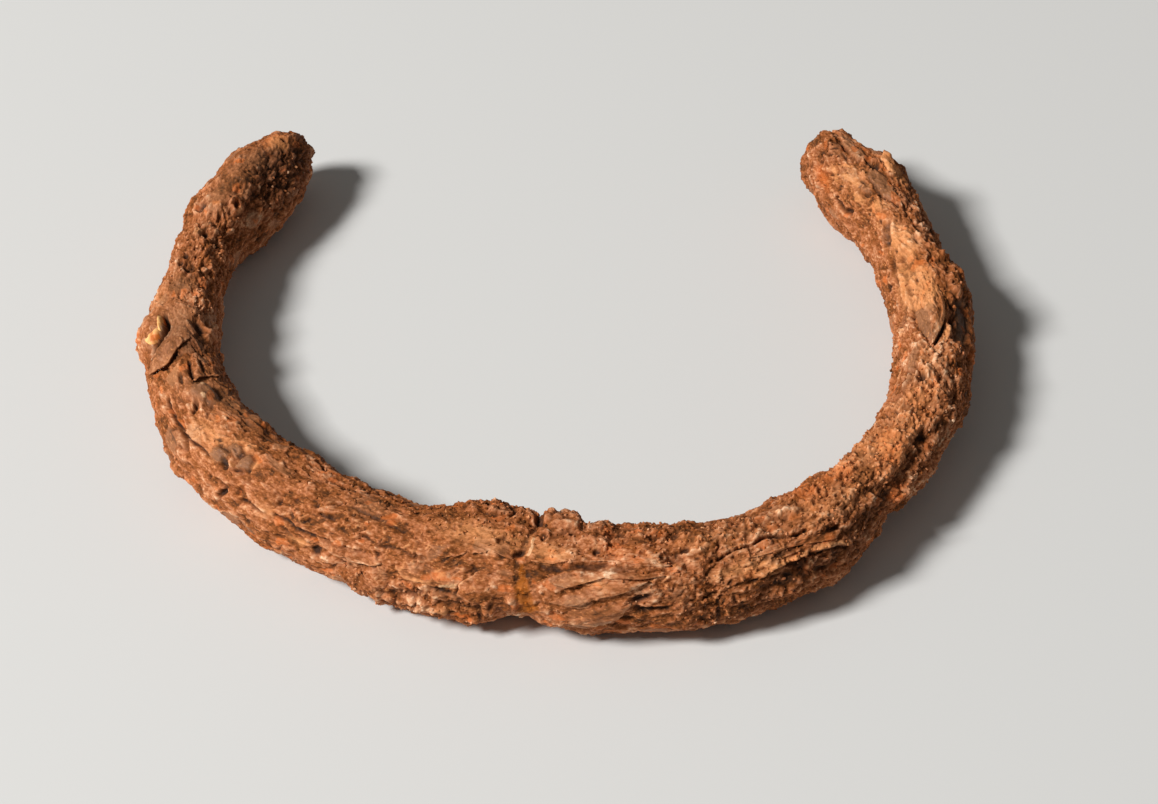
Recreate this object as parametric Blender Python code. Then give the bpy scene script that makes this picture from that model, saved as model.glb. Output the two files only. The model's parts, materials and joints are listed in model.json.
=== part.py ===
# Corroded iron bracelet: one bar bent into an open C, with a blunt terminal at each end.
# Metres, +Z up. The bracelet lies flat on three small rest spots at z = 0, its opening
# towards +Y, and its box is centred on the origin in X and Y.
import math
from dataclasses import dataclass

import bmesh
import bpy
import numpy as np

MM = 0.001

# Plan of the bar, in millimetres and degrees.
# The bar runs from the left terminal round the front to the right terminal. It is bent in
# eight stretches, each with its length along the bar and its bend radius.
LEFT_TERMINAL = (-25.44, 32.87)
FIRST_HEADING = -126.7
BENDS = (
    (22.0, 51.5),
    (21.0, 33.6),
    (21.0, 28.9),
    (21.0, 73.8),
    (21.0, 26.4),
    (21.0, 34.1),
    (21.0, 37.7),
    (20.0, 59.6),
)
BEND_BLEND = 6.0
PATH_STEP = 0.25

# Thickness of the bar: the place along it and half the thickness there, in millimetres.
GIRTHS = (
    (0.0, 2.6),
    (2.5, 3.15),
    (6.0, 3.8),
    (12.0, 4.1),
    (19.0, 3.25),
    (27.0, 3.4),
    (36.0, 3.5),
    (46.0, 3.95),
    (56.0, 4.45),
    (66.0, 4.4),
    (75.0, 4.9),
    (85.0, 4.7),
    (96.0, 4.45),
    (107.0, 4.15),
    (116.0, 3.35),
    (125.0, 3.3),
    (134.0, 3.65),
    (144.0, 3.85),
    (152.0, 3.45),
    (159.0, 4.0),
    (164.0, 3.6),
    (168.0, 3.2),
)
CENTRE_HEIGHT = 4.5
END_ROUNDING = 2.2

# Fineness of the solid. END_RINGS of the rings lie on each rounded end.
RINGS = 160
END_RINGS = 3
SIDES = 26


@dataclass(frozen=True)
class Relief:
    """A local swelling, plate, hollow or notch on the bar's surface.

    along is its place along the bar in millimetres and around its angle round the section:
    0 faces out of the C, 90 up, 180 into the C and 270 down. It reaches half_length along
    the bar and half_width round it, turned by turn degrees. It stands height proud of the
    bar, or cuts in where height is below zero. An edge of 1 makes a soft lump, and 3 makes
    a flat plate with steep sides.
    """

    name: str
    along: float
    around: float
    half_length: float
    half_width: float
    height: float
    edge: float = 1.0
    turn: float = 0.0


# Swellings and hollows that shape the outline.
OUTLINE = (
    Relief("worn inner corner of the left tip", 0.8, 185.0, 2.4, 3.0, -0.8),
    Relief("inner waist of the left arm", 16.5, 172.0, 6.0, 3.2, -0.6),
    Relief("waist of the left arm", 25.0, 22.0, 4.0, 2.4, -0.5),
    Relief("outer swelling of the left bend", 45.5, 355.0, 3.4, 2.4, 0.4),
    Relief("outer hollow after the left bend", 54.0, 330.0, 3.0, 3.0, -0.3),
    Relief("inner swelling after the left bend", 57.0, 132.0, 3.0, 2.6, 0.3),
    Relief("inner saddle at the front left", 69.5, 128.0, 5.0, 3.0, -0.9),
    Relief("lower swelling at the front left", 71.5, 318.0, 6.0, 3.0, 0.65),
    Relief("crest before the mended break", 77.2, 125.0, 2.4, 2.4, 0.5),
    Relief("lower notch at the mended break", 80.4, 322.0, 2.2, 3.0, -1.3),
    Relief("crest after the mended break", 83.2, 126.0, 1.9, 2.4, 0.7),
    Relief("lower swelling at the front right", 95.5, 318.0, 3.5, 2.5, 0.35),
    Relief("inner saddle at the front right", 102.0, 126.0, 6.0, 3.0, -0.65),
    Relief("outer swelling before the right bend", 106.5, 335.0, 5.0, 3.0, 0.6),
    Relief("outer notch at the right bend", 113.2, 345.0, 2.6, 3.0, -0.95),
    Relief("outer swelling after the right bend", 128.0, 0.0, 2.4, 2.4, 0.4),
    Relief("step above the crusty flake", 147.5, 24.0, 1.8, 2.8, -1.0),
    Relief("waist of the right arm", 151.5, 20.0, 2.2, 2.4, -0.4),
    Relief("outer shoulder of the right terminal", 160.0, 30.0, 2.2, 2.4, 0.5),
    Relief("worn outer corner of the right tip", 164.4, 30.0, 2.4, 2.4, -0.9),
)

# Bosses, rust plates, lifted flakes, hollows and grooves on the face of the bar.
FACE = (
    Relief("blister on the left terminal", 14.8, 112.0, 2.0, 1.5, 0.35),
    Relief("crusty knot on the left arm", 21.5, 128.0, 2.4, 1.8, 0.4),
    Relief("boss with the pale chip", 32.6, 18.0, 2.2, 2.2, 0.9, 2.0),
    Relief("overlapping rust plate", 34.5, 78.0, 3.2, 3.6, 0.45, 3.0, 30.0),
    Relief("long rib on the left arm", 41.5, 98.0, 3.4, 0.8, 0.3, 2.0),
    Relief("raised block before the mended break", 76.8, 92.0, 3.2, 2.4, 0.35, 2.0),
    Relief("upper groove of the mended break", 80.4, 100.0, 0.9, 3.6, -0.7),
    Relief("layered rust plate at the front", 86.5, 5.0, 4.6, 1.9, 0.45, 2.0, -6.0),
    Relief("pit beside the layered plate", 91.5, 12.0, 1.2, 1.1, -0.5),
    Relief("lip of the lifted scale", 102.5, 31.0, 5.4, 0.9, 0.5, 2.0, -3.0),
    Relief("hollow under the lifted scale", 102.5, 10.0, 4.6, 1.1, -0.6),
    Relief("long hollow at the right bend", 116.0, 42.0, 5.4, 1.1, -0.6, 1.0, 10.0),
    Relief("lens-shaped flake", 137.0, 104.0, 5.4, 1.5, 0.45, 2.0, 6.0),
    Relief("crevice outside the lens-shaped flake", 139.5, 68.0, 6.8, 1.1, -0.7),
    Relief("crusty flake on the right arm", 141.5, 44.0, 2.6, 1.3, 0.7, 2.0),
    Relief("flake on the right terminal", 158.0, 58.0, 2.0, 1.1, 0.5, 2.0),
)

# Underside of the two terminals, which the bracelet rests on together with its front.
RESTS = (
    Relief("foot of the left terminal", 9.0, 270.0, 4.5, 3.0, 0.75),
    Relief("foot of the right terminal", 160.0, 270.0, 4.5, 3.0, 0.95),
)


def bar_length():
    """Return the whole length of the bar along its centreline, in millimetres."""
    return sum(length for length, _ in BENDS)


def centreline():
    """Return places along the bar with the centreline's x, y and heading there."""
    places = np.arange(0.0, bar_length() + PATH_STEP / 2, PATH_STEP)
    curvature = np.full(len(places), 1.0 / BENDS[0][1])
    joint = 0.0
    for (length, radius), (_, next_radius) in zip(BENDS[:-1], BENDS[1:]):
        joint += length
        share = np.clip((places - joint) / BEND_BLEND + 0.5, 0.0, 1.0)
        share = share * share * (3.0 - 2.0 * share)
        curvature += share * (1.0 / next_radius - 1.0 / radius)
    turned = np.cumsum((curvature[1:] + curvature[:-1]) / 2 * PATH_STEP)
    heading = math.radians(FIRST_HEADING) + np.concatenate(([0.0], turned))
    middle = (heading[1:] + heading[:-1]) / 2
    x = LEFT_TERMINAL[0] + np.concatenate(([0.0], np.cumsum(np.cos(middle) * PATH_STEP)))
    y = LEFT_TERMINAL[1] + np.concatenate(([0.0], np.cumsum(np.sin(middle) * PATH_STEP)))
    return places, x, y, heading


def smooth_through(stations, places):
    """Return a smooth curve through the (place, value) stations, read at the places."""
    knots, values = np.array(stations).T
    slopes = np.gradient(values, knots)
    index = np.clip(np.searchsorted(knots, places, side="right") - 1, 0, len(knots) - 2)
    span = knots[index + 1] - knots[index]
    u = np.clip((places - knots[index]) / span, 0.0, 1.0)
    start = (1.0 + 2.0 * u) * (1.0 - u) ** 2 * values[index]
    leave = u * (1.0 - u) ** 2 * span * slopes[index]
    end = u ** 2 * (3.0 - 2.0 * u) * values[index + 1]
    arrive = u ** 2 * (u - 1.0) * span * slopes[index + 1]
    return start + leave + end + arrive


def relief_height(reliefs, along, around, half_thickness):
    """Return how far the reliefs lift the surface at each point of the (along, around) grid."""
    total = np.zeros(np.broadcast(along, around).shape)
    for relief in reliefs:
        offset = np.radians(relief.around) - around
        offset = (offset + math.pi) % (2.0 * math.pi) - math.pi
        run = along - relief.along
        rise = -offset * half_thickness
        turn = math.radians(relief.turn)
        forward = run * math.cos(turn) + rise * math.sin(turn)
        sideways = rise * math.cos(turn) - run * math.sin(turn)
        reach = (forward / relief.half_length) ** 2 + (sideways / relief.half_width) ** 2
        total += relief.height * np.exp(-reach ** relief.edge)
    return total


def ring_places():
    """Return the rings' places: a few down each rounded end, and the rest evenly between."""
    total = bar_length()
    quarter = np.linspace(0.0, math.pi / 2.0, END_RINGS + 2)[1:-1]
    left = END_ROUNDING * (1.0 - np.cos(quarter))
    middle = np.linspace(END_ROUNDING, total - END_ROUNDING, RINGS - 2 * END_RINGS)
    return np.concatenate((left, middle, total - left[::-1]))


def end_rounding(places):
    """Return the share of the full thickness that the rounded ends leave at each place."""
    from_end = np.minimum(places, bar_length() - places)
    short = np.clip(END_ROUNDING - from_end, 0.0, END_ROUNDING) / END_ROUNDING
    return np.sqrt(np.clip(1.0 - short ** 2, 0.0, 1.0))


def bar_points():
    """Return the surface points of the bar, ring by ring, and the two tip points."""
    path_places, path_x, path_y, path_heading = centreline()
    places = ring_places()
    around = np.linspace(0.0, 2.0 * math.pi, SIDES, endpoint=False)
    half = smooth_through(GIRTHS, places)[:, None]
    lift = relief_height(OUTLINE + FACE + RESTS, places[:, None], around[None, :], half)
    radius = (half + lift) * end_rounding(places)[:, None]
    heading = np.interp(places, path_places, path_heading)
    outward = np.stack((np.sin(heading), -np.cos(heading), np.zeros(RINGS)), axis=-1)
    centre = np.stack((
        np.interp(places, path_places, path_x),
        np.interp(places, path_places, path_y),
        np.full(RINGS, CENTRE_HEIGHT),
    ), axis=-1)
    up = np.array((0.0, 0.0, 1.0))
    spoke = np.cos(around)[None, :, None] * outward[:, None, :]
    spoke = spoke + np.sin(around)[None, :, None] * up
    rings = centre[:, None, :] + radius[:, :, None] * spoke
    tips = np.array((
        (path_x[0], path_y[0], CENTRE_HEIGHT),
        (path_x[-1], path_y[-1], CENTRE_HEIGHT),
    ))
    return rings, tips


def bar_faces():
    """Return the faces: quads between neighbouring rings and a fan round each tip."""
    faces = []
    for ring in range(RINGS - 1):
        for side in range(SIDES):
            after = (side + 1) % SIDES
            near = ring * SIDES
            far = near + SIDES
            faces.append((near + side, far + side, far + after, near + after))
    last = (RINGS - 1) * SIDES
    left_tip = RINGS * SIDES
    right_tip = left_tip + 1
    for side in range(SIDES):
        after = (side + 1) % SIDES
        faces.append((left_tip, side, after))
        faces.append((right_tip, last + after, last + side))
    return faces


def rusted_iron():
    """Return the material of the bar: brown, matt, heavily rusted iron."""
    material = bpy.data.materials.new("rusted_iron")
    material.use_nodes = True
    shader = material.node_tree.nodes["Principled BSDF"]
    shader.inputs["Base Color"].default_value = (0.25, 0.11, 0.045, 1.0)
    shader.inputs["Roughness"].default_value = 0.85
    shader.inputs["Metallic"].default_value = 0.0
    return material


def cut_rest_spots(mesh):
    """Cut the underside off flat at z = 0, which leaves the small spots it rests on."""
    body = bmesh.new()
    body.from_mesh(mesh)
    everything = body.verts[:] + body.edges[:] + body.faces[:]
    bmesh.ops.bisect_plane(
        body, geom=everything, plane_co=(0.0, 0.0, 0.0), plane_no=(0.0, 0.0, -1.0), clear_outer=True
    )
    rims = [edge for edge in body.edges if edge.is_boundary]
    bmesh.ops.holes_fill(body, edges=rims, sides=0)
    body.to_mesh(mesh)
    body.free()


def build_bracelet():
    """Build the bracelet as one closed body and return its object."""
    rings, tips = bar_points()
    vertices = np.concatenate((rings.reshape(-1, 3), tips)) * MM
    mesh = bpy.data.meshes.new("bracelet")
    mesh.from_pydata(vertices.tolist(), [], bar_faces())
    cut_rest_spots(mesh)
    mesh.materials.append(rusted_iron())
    mesh.shade_smooth()
    bracelet = bpy.data.objects.new("bracelet", mesh)
    bpy.context.scene.collection.objects.link(bracelet)
    return bracelet


for old in list(bpy.data.objects):
    bpy.data.objects.remove(old, do_unlink=True)
build_bracelet()
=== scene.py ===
import json
import logging
import math
from dataclasses import dataclass, field
from enum import Enum

import bmesh
import bpy
import numpy as np
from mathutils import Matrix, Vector

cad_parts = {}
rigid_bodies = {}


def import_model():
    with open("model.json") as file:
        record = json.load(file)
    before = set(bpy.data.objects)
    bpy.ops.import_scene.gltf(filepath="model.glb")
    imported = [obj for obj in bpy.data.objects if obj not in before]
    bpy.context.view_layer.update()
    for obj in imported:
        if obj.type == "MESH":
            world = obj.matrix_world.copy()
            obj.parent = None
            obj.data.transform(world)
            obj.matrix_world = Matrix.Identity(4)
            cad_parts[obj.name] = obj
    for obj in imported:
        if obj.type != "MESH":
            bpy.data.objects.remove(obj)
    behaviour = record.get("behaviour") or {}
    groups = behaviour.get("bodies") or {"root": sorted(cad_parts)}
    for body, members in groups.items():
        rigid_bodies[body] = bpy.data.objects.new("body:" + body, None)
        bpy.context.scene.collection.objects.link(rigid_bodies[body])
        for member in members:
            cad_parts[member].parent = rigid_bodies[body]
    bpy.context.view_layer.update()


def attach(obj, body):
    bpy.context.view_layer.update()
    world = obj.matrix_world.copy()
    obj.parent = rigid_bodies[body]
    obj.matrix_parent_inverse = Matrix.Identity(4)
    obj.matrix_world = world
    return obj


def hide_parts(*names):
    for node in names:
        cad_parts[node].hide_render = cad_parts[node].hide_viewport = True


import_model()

MM = 0.001
LOG = logging.getLogger("bracelet")

# A distance greater than any on the bar.
FAR = 1e9

# A line or an outline on the skin: places in millimetres along the bar and degrees round it.
Path = tuple[tuple[float, float], ...]


class Layer(Enum):
    """What is kept at each point of the skin, for the finish and the scattered rust to read."""

    BAR = "bar_mm"
    CRUST = "crust"
    PLATE = "plate"
    POWDER = "powder"
    ORANGE = "orange"
    STAIN = "stain"
    # Painted shade over hollows, cracks, gaps and undersides, and a darker tone on a few scales.
    HOLLOW = "hollow"
    TONE = "tone"
    # Tips that stand out, painted lighter: paler crust and a painted highlight.
    TIP = "tip"
    # Pale lines and flecks, and painted glints on the grey blister's beads.
    PALE = "pale"


# Large odd numbers that stir a place's whole numbers into one random number.
HASH_STEPS = (374761393, 668265263, 1103515245)
HASH_SEED = 974634777
HASH_STIR = 1274126177
HASH_BITS = 0xFFFFFFFF


def random_share(x: np.ndarray, y: np.ndarray, z: np.ndarray, seed: int) -> np.ndarray:
    """Return a repeatable random number from 0 to 1 for each whole-number place.

    Args:
        x, y, z: the places, as whole numbers.
        seed: a number that picks one of many patterns.

    Returns:
        An array of the same shape.
    """
    keep = np.int64(HASH_BITS)
    step_x, step_y, step_z = HASH_STEPS
    mixed = (x * step_x + y * step_y + z * step_z + seed * HASH_SEED) & keep
    mixed = ((mixed ^ (mixed >> 13)) * HASH_STIR) & keep
    mixed = ((mixed ^ (mixed >> 15)) * step_y) & keep
    mixed = mixed ^ (mixed >> 16)
    return mixed / float(HASH_BITS + 1)


NOISE_GAIN = 1.6


def smooth_noise(points: np.ndarray, size: float, seed: int) -> np.ndarray:
    """Return soft random waves of about the given size, mostly between -1 and 1.

    Args:
        points: places in the straightened bar, in millimetres.
        size: the distance from one wave to the next.
        seed: a number that picks one of many patterns.

    Returns:
        One value for each place.
    """
    scaled = points / size
    corner = np.floor(scaled).astype(np.int64)
    part = scaled - corner
    ease = part * part * part * (part * (part * 6.0 - 15.0) + 10.0)
    total = np.zeros(points.shape[:-1])
    for step in np.ndindex(2, 2, 2):
        x, y, z = (corner[..., axis] + step[axis] for axis in range(3))
        weight = np.ones(points.shape[:-1])
        slope = np.zeros(points.shape[:-1])
        for axis in range(3):
            share = ease[..., axis]
            weight = weight * (share if step[axis] else 1.0 - share)
            lean = 2.0 * random_share(x, y, z, seed + 101 * axis) - 1.0
            slope = slope + lean * (part[..., axis] - step[axis])
        total = total + weight * slope
    return NOISE_GAIN * total


@dataclass(frozen=True)
class Grains:
    """Angular grains packed side by side, as arrays with one value for each place asked for.

    facet is the height of the grain's own tilted plane, from about -1 to 1. dome falls from 1 at
    the grain's middle to 0 and below. gap is 0 on the border to the next grain and grows
    inwards, and chance is a random number of the grain from 0 to 1.
    """

    facet: np.ndarray
    dome: np.ndarray
    gap: np.ndarray
    chance: np.ndarray


def packed_grains(points: np.ndarray, size: float, seed: int) -> Grains:
    """Divide the skin into grains, each round a random point of its own.

    Args:
        points: places in the straightened bar, in millimetres.
        size: the distance from one grain to the next.
        seed: a number that picks one of many patterns.

    Returns:
        The grains.
    """
    scaled = points / size
    home = np.floor(scaled).astype(np.int64)
    shape = points.shape[:-1]
    nearest = np.full(shape, FAR)
    second = np.full(shape, FAR)
    facet = np.zeros(shape)
    chance = np.zeros(shape)
    for step in np.ndindex(3, 3, 3):
        cell = home + (np.array(step) - 1)
        x, y, z = (cell[..., axis] for axis in range(3))
        offset = [
            scaled[..., axis] - cell[..., axis] - random_share(x, y, z, seed + 7 * axis)
            for axis in range(3)
        ]
        distance = np.sqrt(offset[0] ** 2 + offset[1] ** 2 + offset[2] ** 2)
        closer = distance < nearest
        second = np.where(closer, nearest, np.minimum(second, distance))
        level = 2.0 * random_share(x, y, z, seed + 31) - 1.0
        for axis in range(3):
            level = level + offset[axis] * (2.0 * random_share(x, y, z, seed + 37 + axis) - 1.0)
        facet = np.where(closer, level, facet)
        chance = np.where(closer, random_share(x, y, z, seed + 53), chance)
        nearest = np.where(closer, distance, nearest)
    return Grains(facet, 1.0 - (nearest / 0.75) ** 2, second - nearest, chance)


def overlapping_leaves(points: np.ndarray, size: float, seed: int) -> np.ndarray:
    """Return the height, from 0 to 1, of leaves that rise slowly and end in a steep edge.

    Args:
        points: places in the straightened bar, in millimetres.
        size: about the distance from one edge to the next.
        seed: a number that picks one of many patterns.

    Returns:
        One value for each place.
    """
    level = 2.0 * smooth_noise(points, size, seed) + 0.6 * smooth_noise(points, 0.4 * size, seed + 1)
    part = level - np.floor(level)
    return part * eased((1.0 - part) / 0.22)


def broken_layers(points: np.ndarray, size: float, seed: int) -> np.ndarray:
    """Return the level, as steps of 1, of flat layers broken off along ragged edges.

    Args:
        points: places in the straightened bar, in millimetres.
        size: about the distance from one edge to the next.
        seed: a number that picks one of many patterns.

    Returns:
        One value for each place.
    """
    level = 1.9 * smooth_noise(points, size, seed) + 0.8 * smooth_noise(points, 0.42 * size, seed + 1)
    level = level + 0.35 * smooth_noise(points, 0.2 * size, seed + 2)
    part = level - np.floor(level)
    return np.floor(level) + eased((part - 0.5) / 0.16 + 0.5)


def eased(values: np.ndarray) -> np.ndarray:
    """Return the values held between 0 and 1, with soft ends."""
    held = np.clip(values, 0.0, 1.0)
    return held * held * (3.0 - 2.0 * held)


def evened(values: np.ndarray, passes: int, axis: int = 0) -> np.ndarray:
    """Return the values of a closed loop, each evened out with its two neighbours.

    Args:
        values: the values, with the loop along one axis.
        passes: how many times over.
        axis: the loop's axis.

    Returns:
        The evened values.
    """
    for _ in range(passes):
        values = (np.roll(values, 1, axis) + 2.0 * values + np.roll(values, -1, axis)) / 4.0
    return values


def blurred(grid: np.ndarray, passes: int) -> np.ndarray:
    """Return the ring-by-side grid of heights, evened out along and round the bar.

    Args:
        grid: the heights.
        passes: how many times over.

    Returns:
        The soft heights.
    """
    soft = grid
    for _ in range(passes):
        soft = evened(soft, 1, axis=1)
        wide = np.pad(soft, ((1, 1), (0, 0)), mode="edge")
        soft = (wide[:-2] + 2.0 * wide[1:-1] + wide[2:]) / 4.0
    return soft


@dataclass
class Skin:
    """The bar's skin as rings of points, each with its height over the smooth bar.

    along and around are each point's place along the bar and its angle round the section,
    0 facing out of the C, 90 up, 180 into the C and 270 down. half is half the thickness.
    wander shifts a place a little, so that an edge drawn through few points turns out ragged,
    which is never by more than drift_room, and strength is how well a crack is kept at a place.
    """

    along: np.ndarray
    around: np.ndarray
    half: np.ndarray
    points: np.ndarray
    smooth: np.ndarray
    normals: np.ndarray
    drift_room: float = 0.8
    height: np.ndarray = field(init=False)
    layers: dict[Layer, np.ndarray] = field(init=False)
    wander: tuple[np.ndarray, np.ndarray] = field(init=False)
    strength: np.ndarray = field(init=False)

    def __post_init__(self) -> None:
        """Start with a bare skin and its ragged drift."""
        shape = self.points.shape[:2]
        self.height = np.zeros(shape)
        self.layers = {layer: np.zeros(shape) for layer in Layer if layer is not Layer.BAR}
        self.wander = tuple(
            0.3 * smooth_noise(self.points, 1.9, seed)
            + 0.18 * smooth_noise(self.points, 0.8, seed + 5)
            + 0.07 * smooth_noise(self.points, 0.35, seed + 9)
            for seed in (11, 12)
        )
        self.strength = 0.35 + 0.65 * eased(0.5 + 1.2 * smooth_noise(self.points, 1.2, 17))

    def rows_near(self, along: float, reach: float) -> slice:
        """Return the rings within reach, in mm, of a place along the bar."""
        room = self.drift_room
        return slice(*np.searchsorted(self.along[:, 0], (along - reach - room, along + reach + room)))

    def half_at(self, along: float) -> float:
        """Return half the bar's thickness at a place along it."""
        return float(np.interp(along, self.along[:, 0], self.half[:, 0]))

    def unrolled(
        self, along: float, around: float, rows: slice = slice(None), ragged: float = 1.0
    ) -> tuple[np.ndarray, np.ndarray]:
        """Return how far the skin's points lie along and round the bar from a place, in mm.

        Args:
            along, around: the place, in millimetres and degrees.
            rows: the rings that are wanted.
            ragged: the share of the skin's drift that is added.

        Returns:
            The run along the bar and the rise round it.
        """
        turn = (self.around - math.radians(around) + math.pi) % (2.0 * math.pi) - math.pi
        run = self.along[rows] - along + ragged * self.wander[0][rows]
        rise = turn * self.half[rows] + ragged * self.wander[1][rows]
        return run, rise

    def laid_flat(self, path: Path) -> list[tuple[float, float]]:
        """Return a path's places as (run, rise), in millimetres from its first place."""
        (start, angle), across = path[0], self.half_at(path[0][0])
        return [(along - start, math.radians(around - angle) * across) for along, around in path]

    def sampled(self, values: np.ndarray, along: np.ndarray, around: np.ndarray) -> np.ndarray:
        """Return a grid's values at any places, blended from the four points round each.

        Args:
            values: a grid of numbers or vectors, one for each point of the skin.
            along, around: the places, in millimetres and radians.

        Returns:
            The values at the places.
        """
        rings, sides = self.along[:, 0], self.around[0]
        ring = np.interp(along, rings, np.arange(len(rings)))
        wrapped = np.append(sides, sides[0] + 2.0 * math.pi)
        turn = np.mod(around - sides[0], 2.0 * math.pi) + sides[0]
        side = np.interp(turn, wrapped, np.arange(len(wrapped)))
        low = np.minimum(ring.astype(int), len(rings) - 2)
        near = np.minimum(side.astype(int), len(sides) - 1)
        far = (near + 1) % len(sides)
        u, v = ring - low, side - near
        if values.ndim == 3:
            u, v = u[..., None], v[..., None]
        first = values[low, near] * (1.0 - v) + values[low, far] * v
        after = values[low + 1, near] * (1.0 - v) + values[low + 1, far] * v
        return first * (1.0 - u) + after * u


class Edge(Enum):
    """How a relief meets the skin round it: the power of its falling off."""

    SOFT = 1.0
    FIRM = 2.0


@dataclass(frozen=True)
class Spot:
    """A named oval place on the skin, by its middle and its half sizes in millimetres."""

    name: str
    along: float
    around: float
    half_length: float
    half_width: float

    def chance_place(self, chance: np.random.Generator, across: float) -> tuple[float, float]:
        """Return a random place in the oval.

        Args:
            chance: the source of random numbers.
            across: half the bar's thickness there.

        Returns:
            The place along and round the bar.
        """
        reach, turn = math.sqrt(chance.uniform()), chance.uniform(0.0, 2.0 * math.pi)
        along = self.along + self.half_length * reach * math.cos(turn)
        around = self.around + math.degrees(self.half_width * reach * math.sin(turn) / across)
        return along, around


@dataclass(frozen=True)
class Swelling(Spot):
    """A round or long lump, or a hollow where its height is below zero."""

    height: float
    edge: Edge = Edge.SOFT
    turn: float = 0.0

    def shape(self, run: np.ndarray, rise: np.ndarray) -> np.ndarray:
        """Return the lump's height over its own, 1 at its middle.

        Args:
            run, rise: places measured along and round the bar from its middle.

        Returns:
            One value for each place.
        """
        turn = math.radians(self.turn)
        forward = run * math.cos(turn) + rise * math.sin(turn)
        sideways = rise * math.cos(turn) - run * math.sin(turn)
        reach = (forward / self.half_length) ** 2 + (sideways / self.half_width) ** 2
        return np.exp(-reach ** self.edge.value)

    def put_on(self, skin: Skin) -> None:
        """Raise the skin by the lump."""
        rows = skin.rows_near(self.along, 3.0 * max(self.half_length, self.half_width))
        skin.height[rows] += self.height * self.shape(*skin.unrolled(self.along, self.around, rows))


@dataclass(frozen=True)
class Pit:
    """A round pit, with a raised rim where rim is above zero.

    rim_place and rim_width are shares of its radius, and dark is the strength of the painted shade on its
    floor.
    """

    name: str
    along: float
    around: float
    radius: float
    depth: float
    rim: float = 0.0
    dark: float = 0.75
    rim_place: float = 1.35
    rim_width: float = 0.35

    def put_on(self, skin: Skin) -> None:
        """Sink the pit into the skin and paint shade on its floor.

        Args:
            skin: the bar's skin.
        """
        rows = skin.rows_near(self.along, 3.0 * self.radius)
        run, rise = skin.unrolled(self.along, self.around, rows)
        distance = np.hypot(run, rise) / (self.radius * (0.5 + 0.75 * skin.strength[rows]))
        bowl = np.exp(-distance ** 4)
        ring = np.exp(-((distance - self.rim_place) / self.rim_width) ** 2)
        skin.height[rows] += self.rim * ring - self.depth * bowl
        dark = skin.layers[Layer.HOLLOW][rows]
        np.maximum(dark, self.dark * bowl, out=dark)


@dataclass(frozen=True)
class Fault:
    """A line on the skin: a crack or groove, a ridge, or the free edge of a scale.

    path holds places as (along, around). The line is width wide and depth deep, or stands
    proud where depth is below zero. The skin to the left of it, seen from above when walked
    from its first place to its last, stands step higher at the line, and falls off over reach.
    It fades out over taper at its ends. A depth of 0 leaves only its mark on the layer, as
    strong as dark, which is painted shade in the cut by default.
    """

    name: str
    path: Path
    width: float
    depth: float
    step: float = 0.0
    reach: float = 3.0
    dark: float = 1.0
    taper: float = 0.8
    layer: Layer = Layer.HOLLOW
    ragged: float = 0.55

    def measured(self, skin: Skin) -> tuple[np.ndarray, np.ndarray, np.ndarray]:
        """Measure the skin against the line.

        Args:
            skin: the bar's skin.

        Returns:
            Each point's distance from the line, how far left of it the point lies, and the
            share of the line left there by the fade at its ends.
        """
        run, rise = skin.unrolled(*self.path[0], ragged=self.ragged)
        knots = skin.laid_flat(self.path)
        nearest = np.full(run.shape, FAR)
        side = np.zeros(run.shape)
        walked = np.zeros(run.shape)
        start = 0.0
        for (x0, y0), (x1, y1) in zip(knots[:-1], knots[1:]):
            length = math.hypot(x1 - x0, y1 - y0)
            ahead_x, ahead_y = (x1 - x0) / length, (y1 - y0) / length
            forward = (run - x0) * ahead_x + (rise - y0) * ahead_y
            left = (rise - y0) * ahead_x - (run - x0) * ahead_y
            held = np.clip(forward, 0.0, length)
            distance = np.hypot(forward - held, left)
            closer = distance < nearest
            nearest = np.where(closer, distance, nearest)
            side = np.where(closer, left, side)
            walked = np.where(closer, start + held, walked)
            start += length
        return nearest, side, eased(np.minimum(walked, start - walked) / self.taper)

    def put_on(self, skin: Skin) -> None:
        """Cut or raise the line, lift the skin on its left and mark the cut on its layer, by default as
        painted shade on its bottom.

        Args:
            skin: the bar's skin.
        """
        distance, side, ends = self.measured(skin)
        line = np.exp(-(distance / (0.5 * self.width)) ** 4) * ends * (0.55 + 0.45 * skin.strength)
        lifted = eased(side / 0.2 + 0.5) * np.exp(-distance / self.reach) * ends
        skin.height += self.step * lifted - self.depth * line
        if self.depth >= 0.0:
            marked = skin.layers[self.layer]
            np.maximum(marked, 0.8 * self.dark * line ** 1.5, out=marked)


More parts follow.
